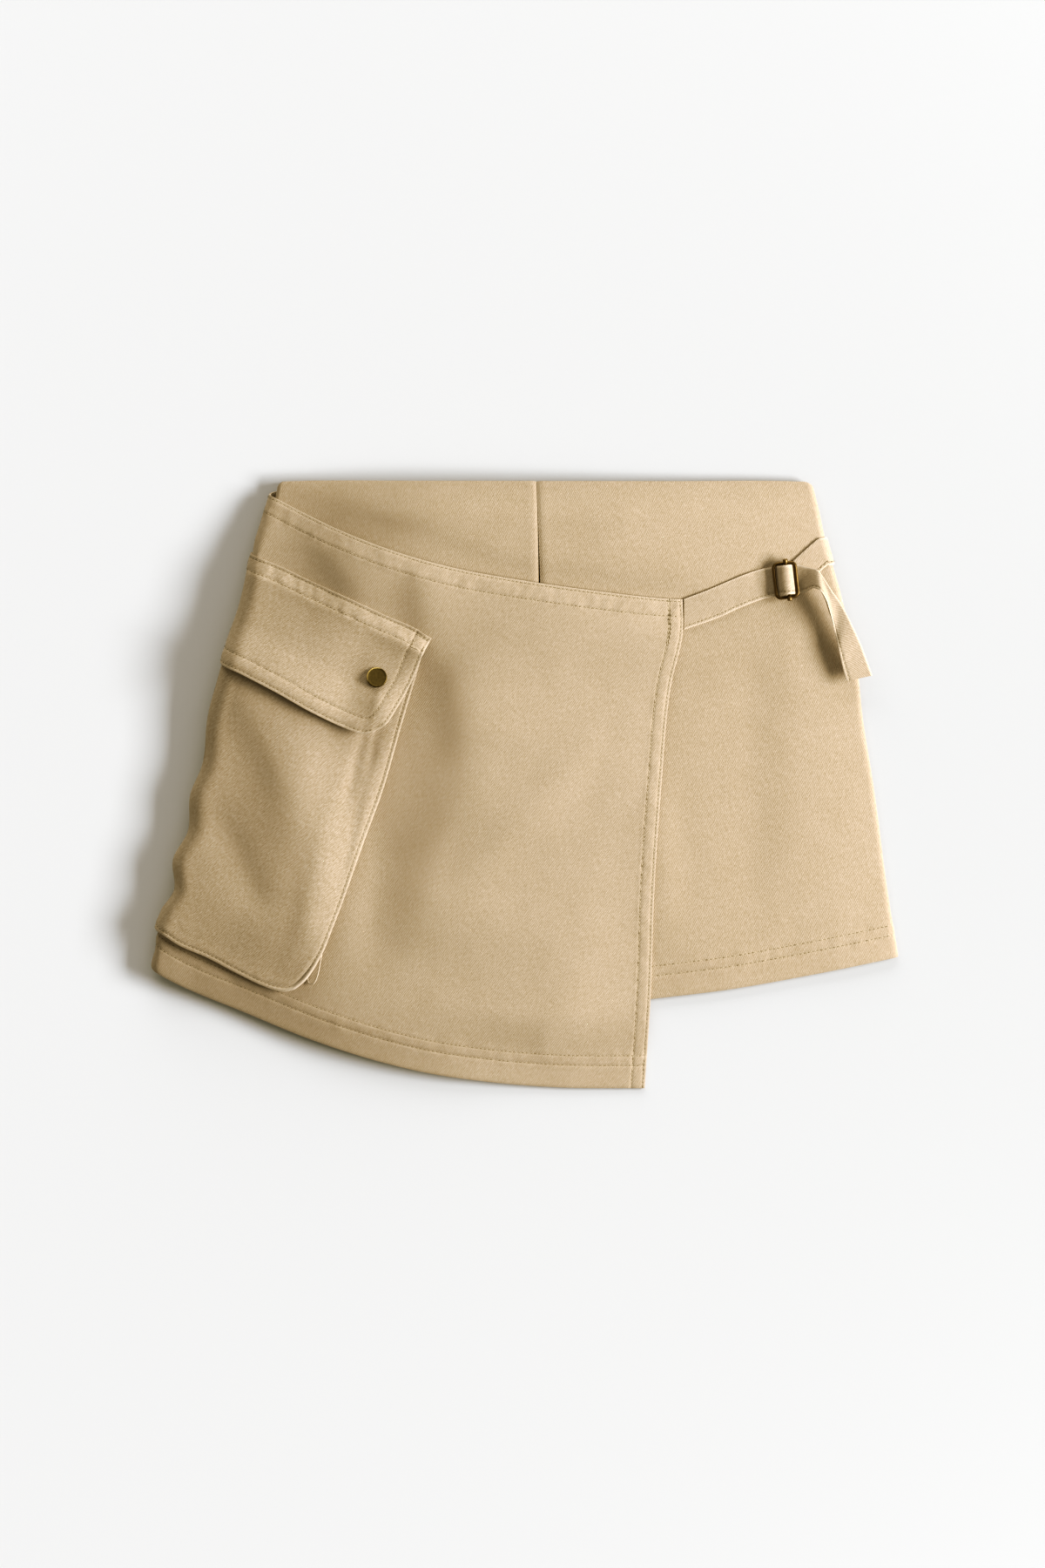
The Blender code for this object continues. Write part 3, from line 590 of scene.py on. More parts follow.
def stitching(name, rows, slot):
    """One mesh of all a piece's stitches. A row is its sheet, a line of (w, t) places on it and,
    for a piece that lies on that sheet, the height of its middle over the sheet's."""
    middles, frames = [], []
    for sheet, w, t, *over in rows:
        fine = np.linspace(0.0, 1.0, 400)
        knots = np.linspace(0.0, 1.0, len(w))
        w, t = np.interp(fine, knots, w), np.interp(fine, knots, t)
        points, out = sheet.lifted(w, t, CLOTH / 2 + 0.02 + sum(over))
        run = run_along(points)
        count = max(1, int(run[-1] / STITCH))
        at = (np.arange(count) + 0.5) * run[-1] / count

        def at_run(values):
            return np.stack([np.interp(at, run, values[:, k]) for k in range(3)], axis=-1)
        along, up = unit(at_run(np.gradient(points, axis=0))), at_run(out)
        up = unit(up - (up * along).sum(axis=1, keepdims=True) * along)
        middles.append(at_run(points))
        frames.append(np.stack([along, np.cross(up, along), up], axis=1))
    middles, frames = np.concatenate(middles), np.concatenate(frames)
    middles[:, 2] = np.maximum(middles[:, 2], STITCH_SIZE[2] / 2)
    points = middles[:, None, :] + np.einsum("pk,nkd->npd", stitch_points, frames)
    size = len(stitch_points)
    mesh = bpy.data.meshes.new(name)
    mesh.from_pydata((points.reshape(-1, 3) * MM).tolist(), [],
                     [[corner + size * n for corner in face]
                      for n in range(len(middles)) for face in stitch_faces])
    shade = mesh.attributes.new("hole_shade", "FLOAT", "POINT")
    shade.data.foreach_set("value", np.tile(stitch_hole_shade, len(middles)).astype(np.float32))
    mesh.shade_smooth()
    piece = bpy.data.objects.new(name, mesh)
    scene.collection.objects.link(piece)
    return finished(piece, thread, slot)


def line_row(sheet, pair, distance, low, high):
    """A stitch row at a distance square to a line across the cloth, between two reaches."""
    w = np.linspace(low, high, 160)
    t = w * 0.0
    for _ in range(4):
        t = t + distance - from_line(pair, w, t)
    return sheet, w, t


# Outlines of the shorts
CENTRE_FRONT = [(8.4, 201.3), (9.4, 172.0), (10.7, 133.0), (11.3, 58.0), (11.3, -64.0),
                (11.3, -67.6)]
FRONT_GAP = [(201.3, 0.0), (160.0, 0.25), (133.0, 0.8), (58.0, 0.3), (-67.6, 0.0)]
INSEAM = [(2.6, -90.0), (7.6, -120.0), (11.6, -148.8)]  # away from the crotch, height
SHORTS_HEM = [(0, 319.5), (12, 320.0), (73, 321.5), (120, 321.4), (166, 319.0)]
WAIST_DIP = (20.0, -3.5)  # in from the side, down it
SHORTS_LINES = (PLAIN_LINES, HEM_LINES, PLAIN_LINES)
SHORTS_START = 0.16  # share of the roll where each panel meets the other at the side seam

# The shorts' twill is a darker copy of the same cloth: painted shade over the shorts.
shorts_twill = twill("shorts_twill", 64.0, tint_and_shade=0.21)
PANELS = [
    ("shorts_front_right", RIGHT_SIDE, 1, 84, 118),
    ("shorts_front_left", LEFT_SIDE, 1, 62, 90),
    ("shorts_back_right", RIGHT_SIDE, -1, 66, 90),
    ("shorts_back_left", LEFT_SIDE, -1, 56, 80),
]
for seed, (name, sheet, side, across, down) in enumerate(PANELS):
    hand = math.copysign(1.0, sheet.fold.top[0])
    if side > 0:
        open_front = [0.0 if hand > 0 else smooth(FRONT_GAP[::-1], y) for _, y in CENTRE_FRONT]
        outline = [(x + hand * (SEAM / 2 + gap), y)
                   for (x, y), gap in zip(CENTRE_FRONT, open_front)]
    else:
        outline = [(CENTRE_BACK_X + hand * SEAM / 2, y) for _, y in CENTRE_FRONT]
    outline += [(CENTRE_BACK_X + hand * out, y) for out, y in INSEAM]
    inner = [sheet.fold.unfold(x, y)[::-1] for x, y in outline]
    top_t, top_w = inner[0]
    between = ((WAIST_DIP[0] + top_w) / 2, (WAIST_DIP[1] + top_t) / 2)
    waist = [(0, 2.3), (12, -1.8), WAIST_DIP, between, (top_w, top_t)]
    hem = SHORTS_HEM + [inner[-1][::-1]]
    sheet.top, sheet.hem, sheet.edge = (waist, waist), (hem, hem), (inner, inner)

    def shorts_surface(w, t, sheet=sheet, seed=seed):
        down_waist, up_hem, centre = sheet.distances(w, t)
        ripple = 0.10 * noise(w / 23.0, t / 31.0, seed + 40)
        ripple += 0.05 * noise(w / 9.0, t / 12.0, seed + 50)
        height = turned_edge(down_waist) + hem_relief(up_hem, w, seed + 20) + ripple
        return height - 0.55 * hump(0.0, 1.5, centre) + 0.12 * hump(4.0, 2.5, centre), 0.0 * w

    sheet.surface = shorts_surface
    w, t = panel_places(sheet, side, across, down, SHORTS_LINES, SHORTS_START)
    piece = finished(sewn_piece(name + "_cloth", sheet, w, t), shorts_twill, "shorts_twill", name)
    rows = [line_row(sheet, sheet.hem, -distance, side * 7.0, side * (inner[-1][1] - 1.5))
            for distance in HEM_ROWS]
    threads = stitching(name + "_thread", rows, "shorts_twill")

# ----------------------------------------
# Wrap: one large panel from its free front edge round the left side to the centre-back seam. Its
# top and front edges are turned over and stitched twice, and its hem has two needle rows.

WRAP_FOLDS = [
    (-148, 186, -98, 118, 14, 34, 2.3),
    (-67, 146, -62, 78, 13, 22, 2.6),
    (-46, 88, -36, 16, 15, 34, 2.2),
    (-30, 116, -28, -28, 30, 62, 3.6),
    (-34, 12, -68, -104, 26, 60, 3.2),
    (-93, -18, -100, -124, 14, 20, -1.9),
    (-40, -66, 52, 34, 13, 15, 0.9),
    (-112, -60, -118, -196, 42, 120, 4.2),
]
# How far the wrap's hem drops to the floor, by reach; the shorts' hem, by distance from CENTRE_X
WRAP_DROP = [(0, 0.75), (45, 0.6), (90, 0.25), (200, 0.25), (262, 0.75), (342, 0.8)]
SHORTS_HEM_LINE = [(0, -149.5), (78, -141.8), (171, -128.0), (234, -115.0)]


def wrap_front(x, y):
    """The wrap's front lies on the shorts and drops towards the floor below their hem."""
    w, t = LEFT.unfold(x, y)
    inside = ease(0, 60, 330 - w) * ease(0, 32, t) * (1.0 - ease(325, 370, t))
    over = shorts_front(x, y) + LAYER + (2.0 + fold_height(WRAP_FOLDS, x, y)) * inside
    beyond = smooth(SHORTS_HEM_LINE, np.abs(x - CENTRE_X)) - y
    drop = smooth(WRAP_DROP, w) * ease(3, 42, beyond)
    return over + (CLOTH / 2 - over) * drop


WRAP = Sheet(
    LEFT,
    inset=[(-12, 5.6), (0, 5.6), (18, 4.7), (37, 4.2), (44, 5.2), (60, 8.2), (150, 8.0),
           (190, 11.0), (231, 12.6), (250, 9.5), (272, 12.6), (286, 7.5), (295, 6.0), (301, 3.9),
           (312, 4.9), (322, 4.7), (327, 5.6)],
    roll=[(-12, 10.0), (26, 9.0), (44, 4.4), (300, 4.4), (327, 6.0)],
    front=wrap_front, back=wrap_back)

WRAP.top = (
    [(0, 0.5), (9, 2.2), (25, 6.2), (62, 14.2), (111, 19.4), (135, 19.6), (182, 16.5), (229, 11.6),
     (275, 5.3), (288, 2.8)],
    [(0, 0.5), (9, -2.6), (60, -18.5), (120, -33.6), (178.6, -48.4)])
WRAP.hem = (
    [(0, 324.0), (9, 327.0), (21, 330.2), (71, 338.4), (120, 345.5), (169, 348.8), (193, 348.8),
     (240, 344.7), (285, 337.4), (342, 324.1)],
    [(0, 324.0), (9, 321.6), (60, 314.5), (130, 305.0), (262.4, 291.0)])
WRAP.edge = (
    [(2.8, 288.3), (22, 293.4), (59, 294.6), (125, 304.2), (199, 317.4), (260, 330.4),
     (324.1, 342.0)],
    [(-48.4, 178.6), (291.0, 262.4)])
TOP_ROWS = (1.5, 11.5)  # rows in from the top edge
EDGE_ROWS = (1.6, 9.0)  # rows in from the front edge
CORNER_ROWS = (8.2, 9.7)  # short rows in from the front edge, at its top
FACING = 0.28  # rise of the cloth turned under along the top and the front edge
TOP_PUCKER, EDGE_PUCKER = 0.32, 0.26  # height of the puckers between their rows
WRAP_PALE_RIM = 0.15  # how pale the top and the front edge are painted: rubbed wear and painted highlight
TOP_LINES = NEAR_ROW + [2.6, 3.8, 5.6, 7.6, 9.4, 10.4, 11.0, 11.5, 12.0, 12.7, 14.0]
EDGE_LINES = NEAR_ROW + [2.6, 3.8, 5.6, 7.2, 8.1, 8.7, 9.2, 9.8, 10.8, 12.4]


def edge_row(sheet, side, distance, low, high):
    """A stitch row at a distance in from an edge that runs down the cloth."""
    edge = sheet.edge[side < 0]
    t = np.linspace(low, high, 160)
    return sheet, side * (smooth(edge, t) - distance * slant(edge, t)), t


def whole_places(sheet, across, down, lines, back_lines):
    """One grid from the back's inner edge, round the fold, to the front's edge."""
    front = panel_places(sheet, 1, across[0], down, lines)
    back = panel_places(sheet, -1, across[1], down, back_lines)
    return [np.concatenate([rear[:, :0:-1], fore], axis=1) for fore, rear in zip(front, back)]


def wrap_surface(w, t):
    top, hem, edge = WRAP.distances(w, t)
    edge = np.where(w > 0, edge, 99.0)  # the back ends in a seam
    facing = 1.0 - ease(0, 2.5, top - TOP_ROWS[1]) + 1.0 - ease(0, 2.5, edge - EDGE_ROWS[1])
    height = FACING * np.minimum(facing, 1.0) * ease(22, 28, hem)
    height += turned_edge(top) + turned_edge(edge)
    for distance, rows in ((top, TOP_ROWS), (edge, EDGE_ROWS)):
        for row in rows:
            height += stitch_dip(distance, row)
    height += TOP_PUCKER * pucker(w, top, 2.0, 13.0, 60)
    height += EDGE_PUCKER * pucker(t, edge, 2.5, 10.0, 62)
    ripple = 0.10 * noise(w / 25.0, t / 33.0, 64) + 0.06 * noise(w / 10.0, t / 13.0, 65)
    # pale rims along the top and front edge: rubbed wear and painted highlight
    wear_and_highlight = WRAP_PALE_RIM * hump(0.0, 0.9, top) + WRAP_PALE_RIM * hump(0.0, 0.9, edge)
    return height + hem_relief(hem, w, 66) + ripple, wear_and_highlight


WRAP.surface = wrap_surface
w, t = whole_places(WRAP, (116, 56), 122, (TOP_LINES, HEM_LINES, EDGE_LINES),
                    (TOP_LINES, HEM_LINES, PLAIN_LINES))
wrap_cloth = finished(sewn_piece("wrap_cloth", WRAP, w, t), twill("wrap_twill", 53.0), "wrap_twill",
                      "wrap_panel")
rows = [line_row(WRAP, WRAP.top, distance, -178.0, 286.5) for distance in TOP_ROWS]
rows += [line_row(WRAP, WRAP.hem, -distance, -258.0, 334.0) for distance in HEM_ROWS]
rows += [edge_row(WRAP, 1, distance, 4.5, 323.5) for distance in EDGE_ROWS]
rows += [edge_row(WRAP, 1, distance, 3.5, 33.0) for distance in CORNER_ROWS]
wrap_thread = stitching("wrap_thread", rows, "wrap_twill")

# ----------------------------------------
# Pocket: a large bellows pocket of the same twill, round the left side. Its face is edge-stitched
# and stands off the wrap on a folded strip, the gusset, sewn along both sides and the bottom.

MOUTH_DEPTH = 3.1  # pocket depth along its mouth
RIM_DEPTH = [(60, 3.6), (125, 5.6), (200, 6.4), (300, 4.6)]  # along its front edge, downwards
FULL_DEPTH = 11.0  # pocket depth where it stands fullest
FOLD_DEPTH = 4.8  # pocket depth at the garment's side
MOUTH_START, FLAP_START = 56.5, 41.5  # down the left fold line
POCKET_SLANT = 0.2  # fall of the mouth and of the flap's top, for each mm in
POCKET_FOLDS = [
    (-122, 136, -118, -12, 34, 24, -3.4),
    (-192, 78, -148, -10, 16, 30, 3.4),
    (-162, 4, -112, -88, 24, 26, 3.0),
    (-140, -66, -134, -150, 12, 26, 1.6),
    (-206, -14, -170, -90, 14, 12, -1.6),
]
POCKET_CREASES = [
    (-103, 44, -119, -16, 4, 5, -1.1),
    (-96, 44, -103, 8, 3, 4, -0.8),
    (-92, 34, -108, -26, 4, 5, 0.7),
    (-104, -8, -121, -92, 3, 6, 0.9),
]


def pocket_depth(x, y):
    """Depth of the pocket on the front, between the middles of its face and of the wrap."""
    w, t = LEFT.unfold(x, y)
    below_mouth = t - MOUTH_START - POCKET_SLANT * w
    middle = ease(-2, 34, 126 - w) * ease(-2, 50, 318 - t)
    swell = FOLD_DEPTH + (FULL_DEPTH - FOLD_DEPTH) * ease(6, 80, w)
    rim = smooth(RIM_DEPTH, t)
    full = rim + (swell - rim + fold_height(POCKET_FOLDS, x, y)) * middle
    full = full + fold_height(POCKET_CREASES, x, y)
    return MOUTH_DEPTH + (full - MOUTH_DEPTH) * ease(-6, 44, below_mouth)


def pocket_front(x, y):
    return wrap_front(x, y) + pocket_depth(x, y)


def pocket_back(x, y):
    w, t = LEFT.unfold(x, y)
    return CLOTH / 2 + LAYER * (1.0 - ease(124, 175, t))


POCKET = Sheet(
    LEFT,
    inset=[(40, 4.8), (80, 5.5), (104, 3.2), (128, 2.0), (152, 1.5), (187, 5.7), (206, 2.8),
           (231, 7.0), (251, 2.0), (272, 7.4), (286, 2.3), (298, 0.6)],
    roll=[(40, 7.0), (80, 11.0), (160, 13.0), (298, 11.0)],
    front=pocket_front, back=pocket_back)

POCKET.top = (
    [(0, 57.0), (9, 58.6), (25, 61.5), (129.4, 82.4)],
    [(0, 57.0), (9, 55.0), (60, 44.8)])
POCKET.hem = (
    [(0, 297.5), (8, 301.0), (14, 303.6), (40, 308.8), (65, 315.0), (78, 317.8), (89, 318.8),
     (95, 318.2), (100.8, 315.1)],
    [(0, 297.5), (8, 294.0), (30, 289.5), (50, 286.0), (62, 283.0), (68, 279.0)])
POCKET.edge = (
    [(82.4, 129.4), (130, 127.3), (172, 125.8), (209, 121.8), (267, 115.9), (291, 112.1),
     (300.5, 109.2), (309.2, 105.3), (315.1, 100.8)],
    [(44.8, 60.0), (150, 66.0), (250, 71.5), (268, 71.8), (275, 70.5), (279.0, 68.0)])
POCKET_ROW = 2.3  # of the edge stitching
ROW_SWELL, POCKET_PUCKER = 0.15, 0.16  # inside that row
POCKET_CORNER = (105.0, 309.0)  # where its lower front corner is drawn hard, and its rim painted paler there: rubbed wear and painted highlight


def pocket_surface(w, t):
    rim = np.minimum(*POCKET.distances(w, t)[1:])
    corner = hump(0.0, 17.0, np.hypot(w - POCKET_CORNER[0], t - POCKET_CORNER[1]))
    height = turned_edge(rim) + stitch_dip(rim, POCKET_ROW) + ROW_SWELL * hump(4.5, 1.8, rim)
    height += corner * (0.6 * hump(0.9, 1.3, rim) - 0.8 * hump(3.2, 1.2, rim))
    height += POCKET_PUCKER * pucker(w + t, rim, 3.0, 14.0, 80)
    height += 0.12 * noise(w / 21.0, t / 26.0, 82) + 0.07 * noise(w / 9.0, t / 11.0, 83)
    # pale rim, wider at the corner: rubbed wear and painted highlight
    return height, 0.3 * hump(0.0, 1.0, rim) + 0.6 * corner * hump(0.4, 2.4, rim)


def round_row(sheet, side, distance, high, low=0.0):
    """A stitch row down an edge, round the corner and along the bottom towards the fold."""
    edge, bottom = (pair[side < 0] for pair in (sheet.edge, sheet.hem))
    both = (bottom, bottom)
    _, edge_w, edge_t = edge_row(sheet, side, distance, high, edge[-1][0])
    keep = from_line(both, np.abs(edge_w), edge_t) <= -distance
    _, line_w, line_t = line_row(sheet, both, -distance, side * low, side * bottom[-1][0])
    keep_line = from_edge(edge, line_w, line_t) >= distance
    w = np.concatenate([edge_w[keep], line_w[keep_line][::-1]])
    return sheet, w, np.concatenate([edge_t[keep], line_t[keep_line][::-1]])


POCKET.surface = pocket_surface
lines = (PLAIN_LINES, ROW_LINES, ROW_LINES)
w, t = whole_places(POCKET, (60, 24), 118, lines, lines)
pocket_twill = twill("pocket_twill", 41.0, 1.6)
pocket_cloth = finished(sewn_piece("pocket_face_cloth", POCKET, w, t), pocket_twill, "pocket_twill",
                        "pocket_face")
rows = [round_row(POCKET, 1, POCKET_ROW, 84.0), round_row(POCKET, -1, POCKET_ROW, 47.0)]
pocket_thread = stitching("pocket_thread", rows, "pocket_twill")
# The gusset's binding has slipped out at the lower front corner and hangs there as a loop
BINDING, BINDING_PALE = 0.9, 0.7  # its thickness, and how pale it is painted: rubbed wear and painted highlight
BINDING_LOOP = [(-133.9, -112.0, 2.6), (-135.4, -120.0, 3.4), (-136.9, -127.0, 3.8),
                (-139.4, -131.9, 3.0), (-142.6, -131.6, 2.0), (-143.4, -128.0, 1.6)]


def wire(piece, thickness, **settings):
    """Round wire along a piece's edges."""
    name = piece.name
    bpy.ops.object.select_all(action="DESELECT")
    piece.select_set(True)
    bpy.context.view_layer.objects.active = piece
    bpy.ops.object.convert(target="CURVE")
    curve = bpy.context.object.data
    curve.bevel_depth = thickness / 2 * MM
    for setting, value in settings.items():
        setattr(curve, setting, value)
    bpy.ops.object.convert(target="MESH")
    piece = bpy.context.object
    piece.data.name = name
    bpy.ops.object.shade_smooth()
    return piece


steps = np.arange(len(BINDING_LOOP))
x, y, rise = smooth_line(steps, BINDING_LOOP, np.linspace(0, steps[-1], 31)).T
path = np.stack([x, y, wrap_front(x, y) + rise], axis=-1) * MM
way = bpy.data.meshes.new("pocket_binding")
way.from_pydata(path.tolist(), [(k, k + 1) for k in range(len(path) - 1)], [])
binding = bpy.data.objects.new("pocket_binding", way)
bpy.context.collection.objects.link(binding)
binding = wire(binding, BINDING, use_fill_caps=True)
paint_wear_and_highlight(binding, np.full(len(binding.data.vertices), BINDING_PALE))
finished(binding, pocket_twill, "pocket_twill")

GUSSET_INSET = 1.2  # from the pocket's edge to the middle of the gusset
GUSSET_FOLD = 0.3  # how far the gusset folds inwards, for each mm of depth
GUSSET_CLEAR = 0.8  # left between the gusset and the cloth it is sewn to
GUSSET_WALL, GUSSET_CUT = 1.0, 10.0  # its thickness, and the width of its cut

(edge, back_edge), (bottom, back_bottom) = POCKET.edge, POCKET.hem
front_t = np.linspace(edge[0][0] + 2.0, edge[-1][0], 110)
roll = POCKET.reach(bottom[0][1])
rolled = np.linspace(roll, 0.0, ROLL_STEPS + 1)
bottom_w = np.concatenate([np.linspace(bottom[-1][0], roll, 50)[1:-1], rolled])
rear_w = np.concatenate([rolled[-2::-1], np.linspace(roll, back_bottom[-1][0], 26)[1:]])
rear_t = np.linspace(back_edge[-1][0], back_edge[0][0] + 2.0, 90)[1:]
outline = np.concatenate([np.column_stack(part) for part in (
    (smooth(edge, front_t), front_t), (bottom_w, smooth(bottom, bottom_w)),
    (-rear_w, smooth(back_bottom, rear_w)), (-smooth(back_edge, rear_t), rear_t))])
along = unit(np.gradient(outline, axis=0))
inward = np.column_stack([-along[:, 1], along[:, 0]])
rim = outline + GUSSET_INSET * inward
depth = np.linalg.norm(POCKET.place(*rim.T) - WRAP.place(*rim.T), axis=1)
clear = (CLOTH / 2 + GUSSET_CLEAR) / depth
gusset_points, gusset_pattern = [], []
run = run_along(outline)
for share in np.linspace(0.0, 1.0, 9):
    folded = GUSSET_FOLD * math.sin(math.pi * share) * (depth - 2.5).clip(0.0, 6.0)
    line = rim + folded[:, None] * inward
    base, face = WRAP.place(*line.T), POCKET.place(*line.T)
    gusset_points.append(base + (face - base) * (clear + share * (1.0 - 2.0 * clear))[:, None])
    gusset_pattern.append(np.column_stack([run, GUSSET_CUT * share + 0.0 * run]))
gusset = cloth_piece("pocket_gusset_cloth", np.array(gusset_points), np.array(gusset_pattern),
                     wall=GUSSET_WALL, rounding=0.25)
finished(gusset, pocket_twill, "pocket_twill", "pocket_gusset")

# ----------------------------------------
# Flap: two plies of twill sewn to the wrap above the pocket, edge-stitched twice all round, with
# a stitched box where the rows meet. It hangs over the mouth and closes with one press stud.

FLAP_RISE = 13.5  # length over which the flap rises from the wrap onto the pocket
LOWER_LIFT = 4.5  # how far its lower edge stands off the pocket
FRONT_LIFT, SNAP_LIFT = 2.5, 2.8  # more towards its front edge, and more again past the snap
# Rise that the snap's pull leaves below it, as in the other tables of folds
FLAP_FOLDS = [(-97, 88, -90, 44, 14, 60, 2.3)]


def flap_front(x, y):
    """The flap is sewn down along its top and lies on the pocket below that."""
    w, t = LEFT.unfold(x, y)
    below_top = t - FLAP_START - POCKET_SLANT * w
    lift = LOWER_LIFT * (1.0 - ease(0, 34, -from_line(FLAP.hem, w, t)))
    lift = lift + FRONT_LIFT * ease(82, 136, w) + SNAP_LIFT * ease(88, 120, w)
    lift = lift + fold_height(FLAP_FOLDS, x, y)
    return wrap_front(x, y) + LAYER + (pocket_depth(x, y) + lift) * ease(0, FLAP_RISE, below_top)


def flap_back(x, y):
    return CLOTH / 2 + 0.0 * x


FLAP = Sheet(
    LEFT,
    inset=[(40, 3.0), (80, 3.8), (104, 1.5), (120, 1.0)],
    roll=[(40, 10.0), (80, 13.0), (120, 14.0)],
    front=flap_front, back=flap_back)

FLAP.top = (
    [(0, 41.5), (9, 43.4), (22, 45.3), (47.4, 50.5), (97.5, 60.2), (122.5, 64.8), (133.0, 68.1)],
    [(0, 41.5), (9, 39.0), (62, 28.5)])
FLAP.hem = (
    [(0, 116.5), (9, 119.4), (17, 121.3), (42.5, 127.5), (68.2, 134.6), (93.3, 139.6),
     (99.4, 140.4), (105.4, 140.1), (110.7, 137.6)],
    [(0, 116.5), (9, 113.2), (40, 106.5), (56, 103.0), (63, 98.5)])
FLAP.edge = (
    [(68.1, 133.0), (81.5, 129.9), (100, 127.1), (117.3, 122.4), (125.8, 119.7), (131.8, 117.1),
     (137.6, 110.7)],
    [(28.5, 62.0), (60, 64.5), (88, 66.0), (95, 65.4), (98.5, 63.0)])
FLAP_ROWS = (1.9, 10.5)  # rows in from its edges and down from its top
FLAP_LINES = NEAR_ROW + [2.4, 3.0, 4.4, 6.4, 8.2, 9.4, 10.1, 10.7, 11.3, 12.2, 13.6]
RIM_PUCKER, SEAM_PUCKER = 0.20, 0.52  # round its free edges, and along its top
SNAP_PLACE, SNAP_DENT = (104.3, 102.1), 1.1
STITCHED_BOX = [(122.5, 67.7), (129.7, 69.9), (129.4, 78.5), (121.5, 77.2), (122.5, 67.7)]


def flap_surface(w, t):
    top, bottom, edge = FLAP.distances(w, t)
    rim = np.minimum(bottom, edge)
    height = turned_edge(rim) + 0.8 * turned_edge(top)
    for row in FLAP_ROWS:
        height += stitch_dip(rim, row) + stitch_dip(top, row)
    height += 0.22 * hump(6.0, 2.6, rim) + 0.2 * hump(6.0, 2.6, top)
    height += RIM_PUCKER * pucker(w + t, rim, 2.5, 12.0, 90)
    height += SEAM_PUCKER * pucker(w, top, 2.5, 11.0, 92)
    height -= SNAP_DENT * hump(0.0, 12.0, np.hypot(w - SNAP_PLACE[0], t - SNAP_PLACE[1]))
    height += 0.10 * noise(w / 17.0, t / 21.0, 94) + 0.05 * noise(w / 7.0, t / 8.0, 95)
    # pale rims: rubbed wear and painted highlight along the turned edges
    return height, 0.35 * hump(0.0, 1.0, rim) + 0.1 * hump(0.0, 0.9, top)


FLAP.surface = flap_surface
lines = (FLAP_LINES, FLAP_LINES, FLAP_LINES)
w, t = whole_places(FLAP, (58, 22), 26, lines, lines)
flap_cloth = finished(sewn_piece("pocket_flap_cloth", FLAP, w, t), twill("flap_twill", 34.0, 1.5),
                      "flap_twill", "pocket_flap")
rows = [line_row(FLAP, FLAP.top, distance, -60.0, end)
        for distance, end in zip(FLAP_ROWS, (131.0, 121.0))]
for distance, first in zip(FLAP_ROWS, (80.0, 78.0)):
    rows += [round_row(FLAP, 1, distance, first), round_row(FLAP, -1, distance, 31.0)]
rows.append((FLAP, *np.array(STITCHED_BOX).T))
flap_thread = stitching("flap_thread", rows, "flap_twill")

# ----------------------------------------
# Press stud: the cap of a four-part stud, drawn from thin brass and darkened, with a bright arc
# of painted highlight on the lower right of its rim. It is clinched through the flap near its
# front corner.

# SNAP_BRIGHT is the colour of the painted highlight on the cap's rim
SNAP_DARK, SNAP_BRIGHT = (0.030, 0.020, 0.006, 1.0), (0.60, 0.47, 0.22, 1.0)


def brass(name, roughness, dark, bright):
    """Brass darkened by age, brighter where its "wear_and_highlight" value is high: rubbed wear,
    and on the snap's rim a painted highlight.
    """
    made, tree, shader = new_material(name)
    place = node(tree, "TexCoord", {})["Object"]
    grime = node(tree, "TexNoise", {"Vector": place, "Scale": 900.0, "Detail": 3.0})["Fac"]
    wear_and_glint = compute(tree, "MULTIPLY_ADD", grime, 0.16, stored(tree, "wear_and_highlight"))
    gloss = node(tree, "MapRange", {"Value": grime, "To Min": roughness - 0.08,
                                    "To Max": roughness + 0.12})["Result"]
    feed(tree, shader, {"Base Color": mixed(tree, wear_and_glint, dark, bright), "Metallic": 1.0,
                        "Roughness": gloss})
    return made


def settle(piece, turn, place):
    """Turns a finished mesh to its place on the garment, given in millimetres, and leaves its
    object at the origin."""
    piece.data.transform(Matrix.Translation(Vector(place) * MM) @ turn.to_4x4())
    piece.data.update()


def turned(name, profile, around):
    """A round solid, drawn up step by step through rows of (radius, height)."""
    piece = added(bpy.ops.mesh.primitive_circle_add, name, vertices=around,
                  radius=profile[0][0] * MM, fill_type="NGON")
    piece.data.name = name
    bpy.ops.object.mode_set(mode="EDIT")
    bpy.ops.mesh.select_all(action="SELECT")
    for (radius, height), (next_radius, next_height) in zip(profile, profile[1:]):
        rise = (0.0, 0.0, (next_height - height) * MM)
        bpy.ops.mesh.extrude_region_move(TRANSFORM_OT_translate={"value": rise})
        growth = next_radius / radius
        bpy.ops.transform.resize(value=(growth, growth, 1.0))
    bpy.ops.mesh.select_all(action="SELECT")
    bpy.ops.mesh.normals_make_consistent(inside=False)
    bpy.ops.object.mode_set(mode="OBJECT")
    bpy.ops.object.shade_smooth_by_angle(angle=math.radians(50))
    piece.data.transform(Matrix.Translation((0.0, 0.0, profile[0][1] * MM)))
    return piece


SNAP_CAP = [(5.8, 0.0), (6.3, 0.1), (6.6, 0.35), (6.75, 0.8), (6.78, 1.2), (6.65, 1.55),
            (6.4, 1.8), (6.15, 1.86), (5.95, 1.82), (5.7, 1.73), (5.35, 1.68), (4.2, 1.64),
            (2.4, 1.62), (0.8, 1.61)]
SNAP_LEAN = (0.05, 0.13, 0.0)  # of its axis, away from square to the flap
SNAP_HIGHLIGHT_SIDE = 40.0  # degrees below +X, where the painted highlight on its rim is brightest

cap = turned("snap_cap_brass", SNAP_CAP, 72)
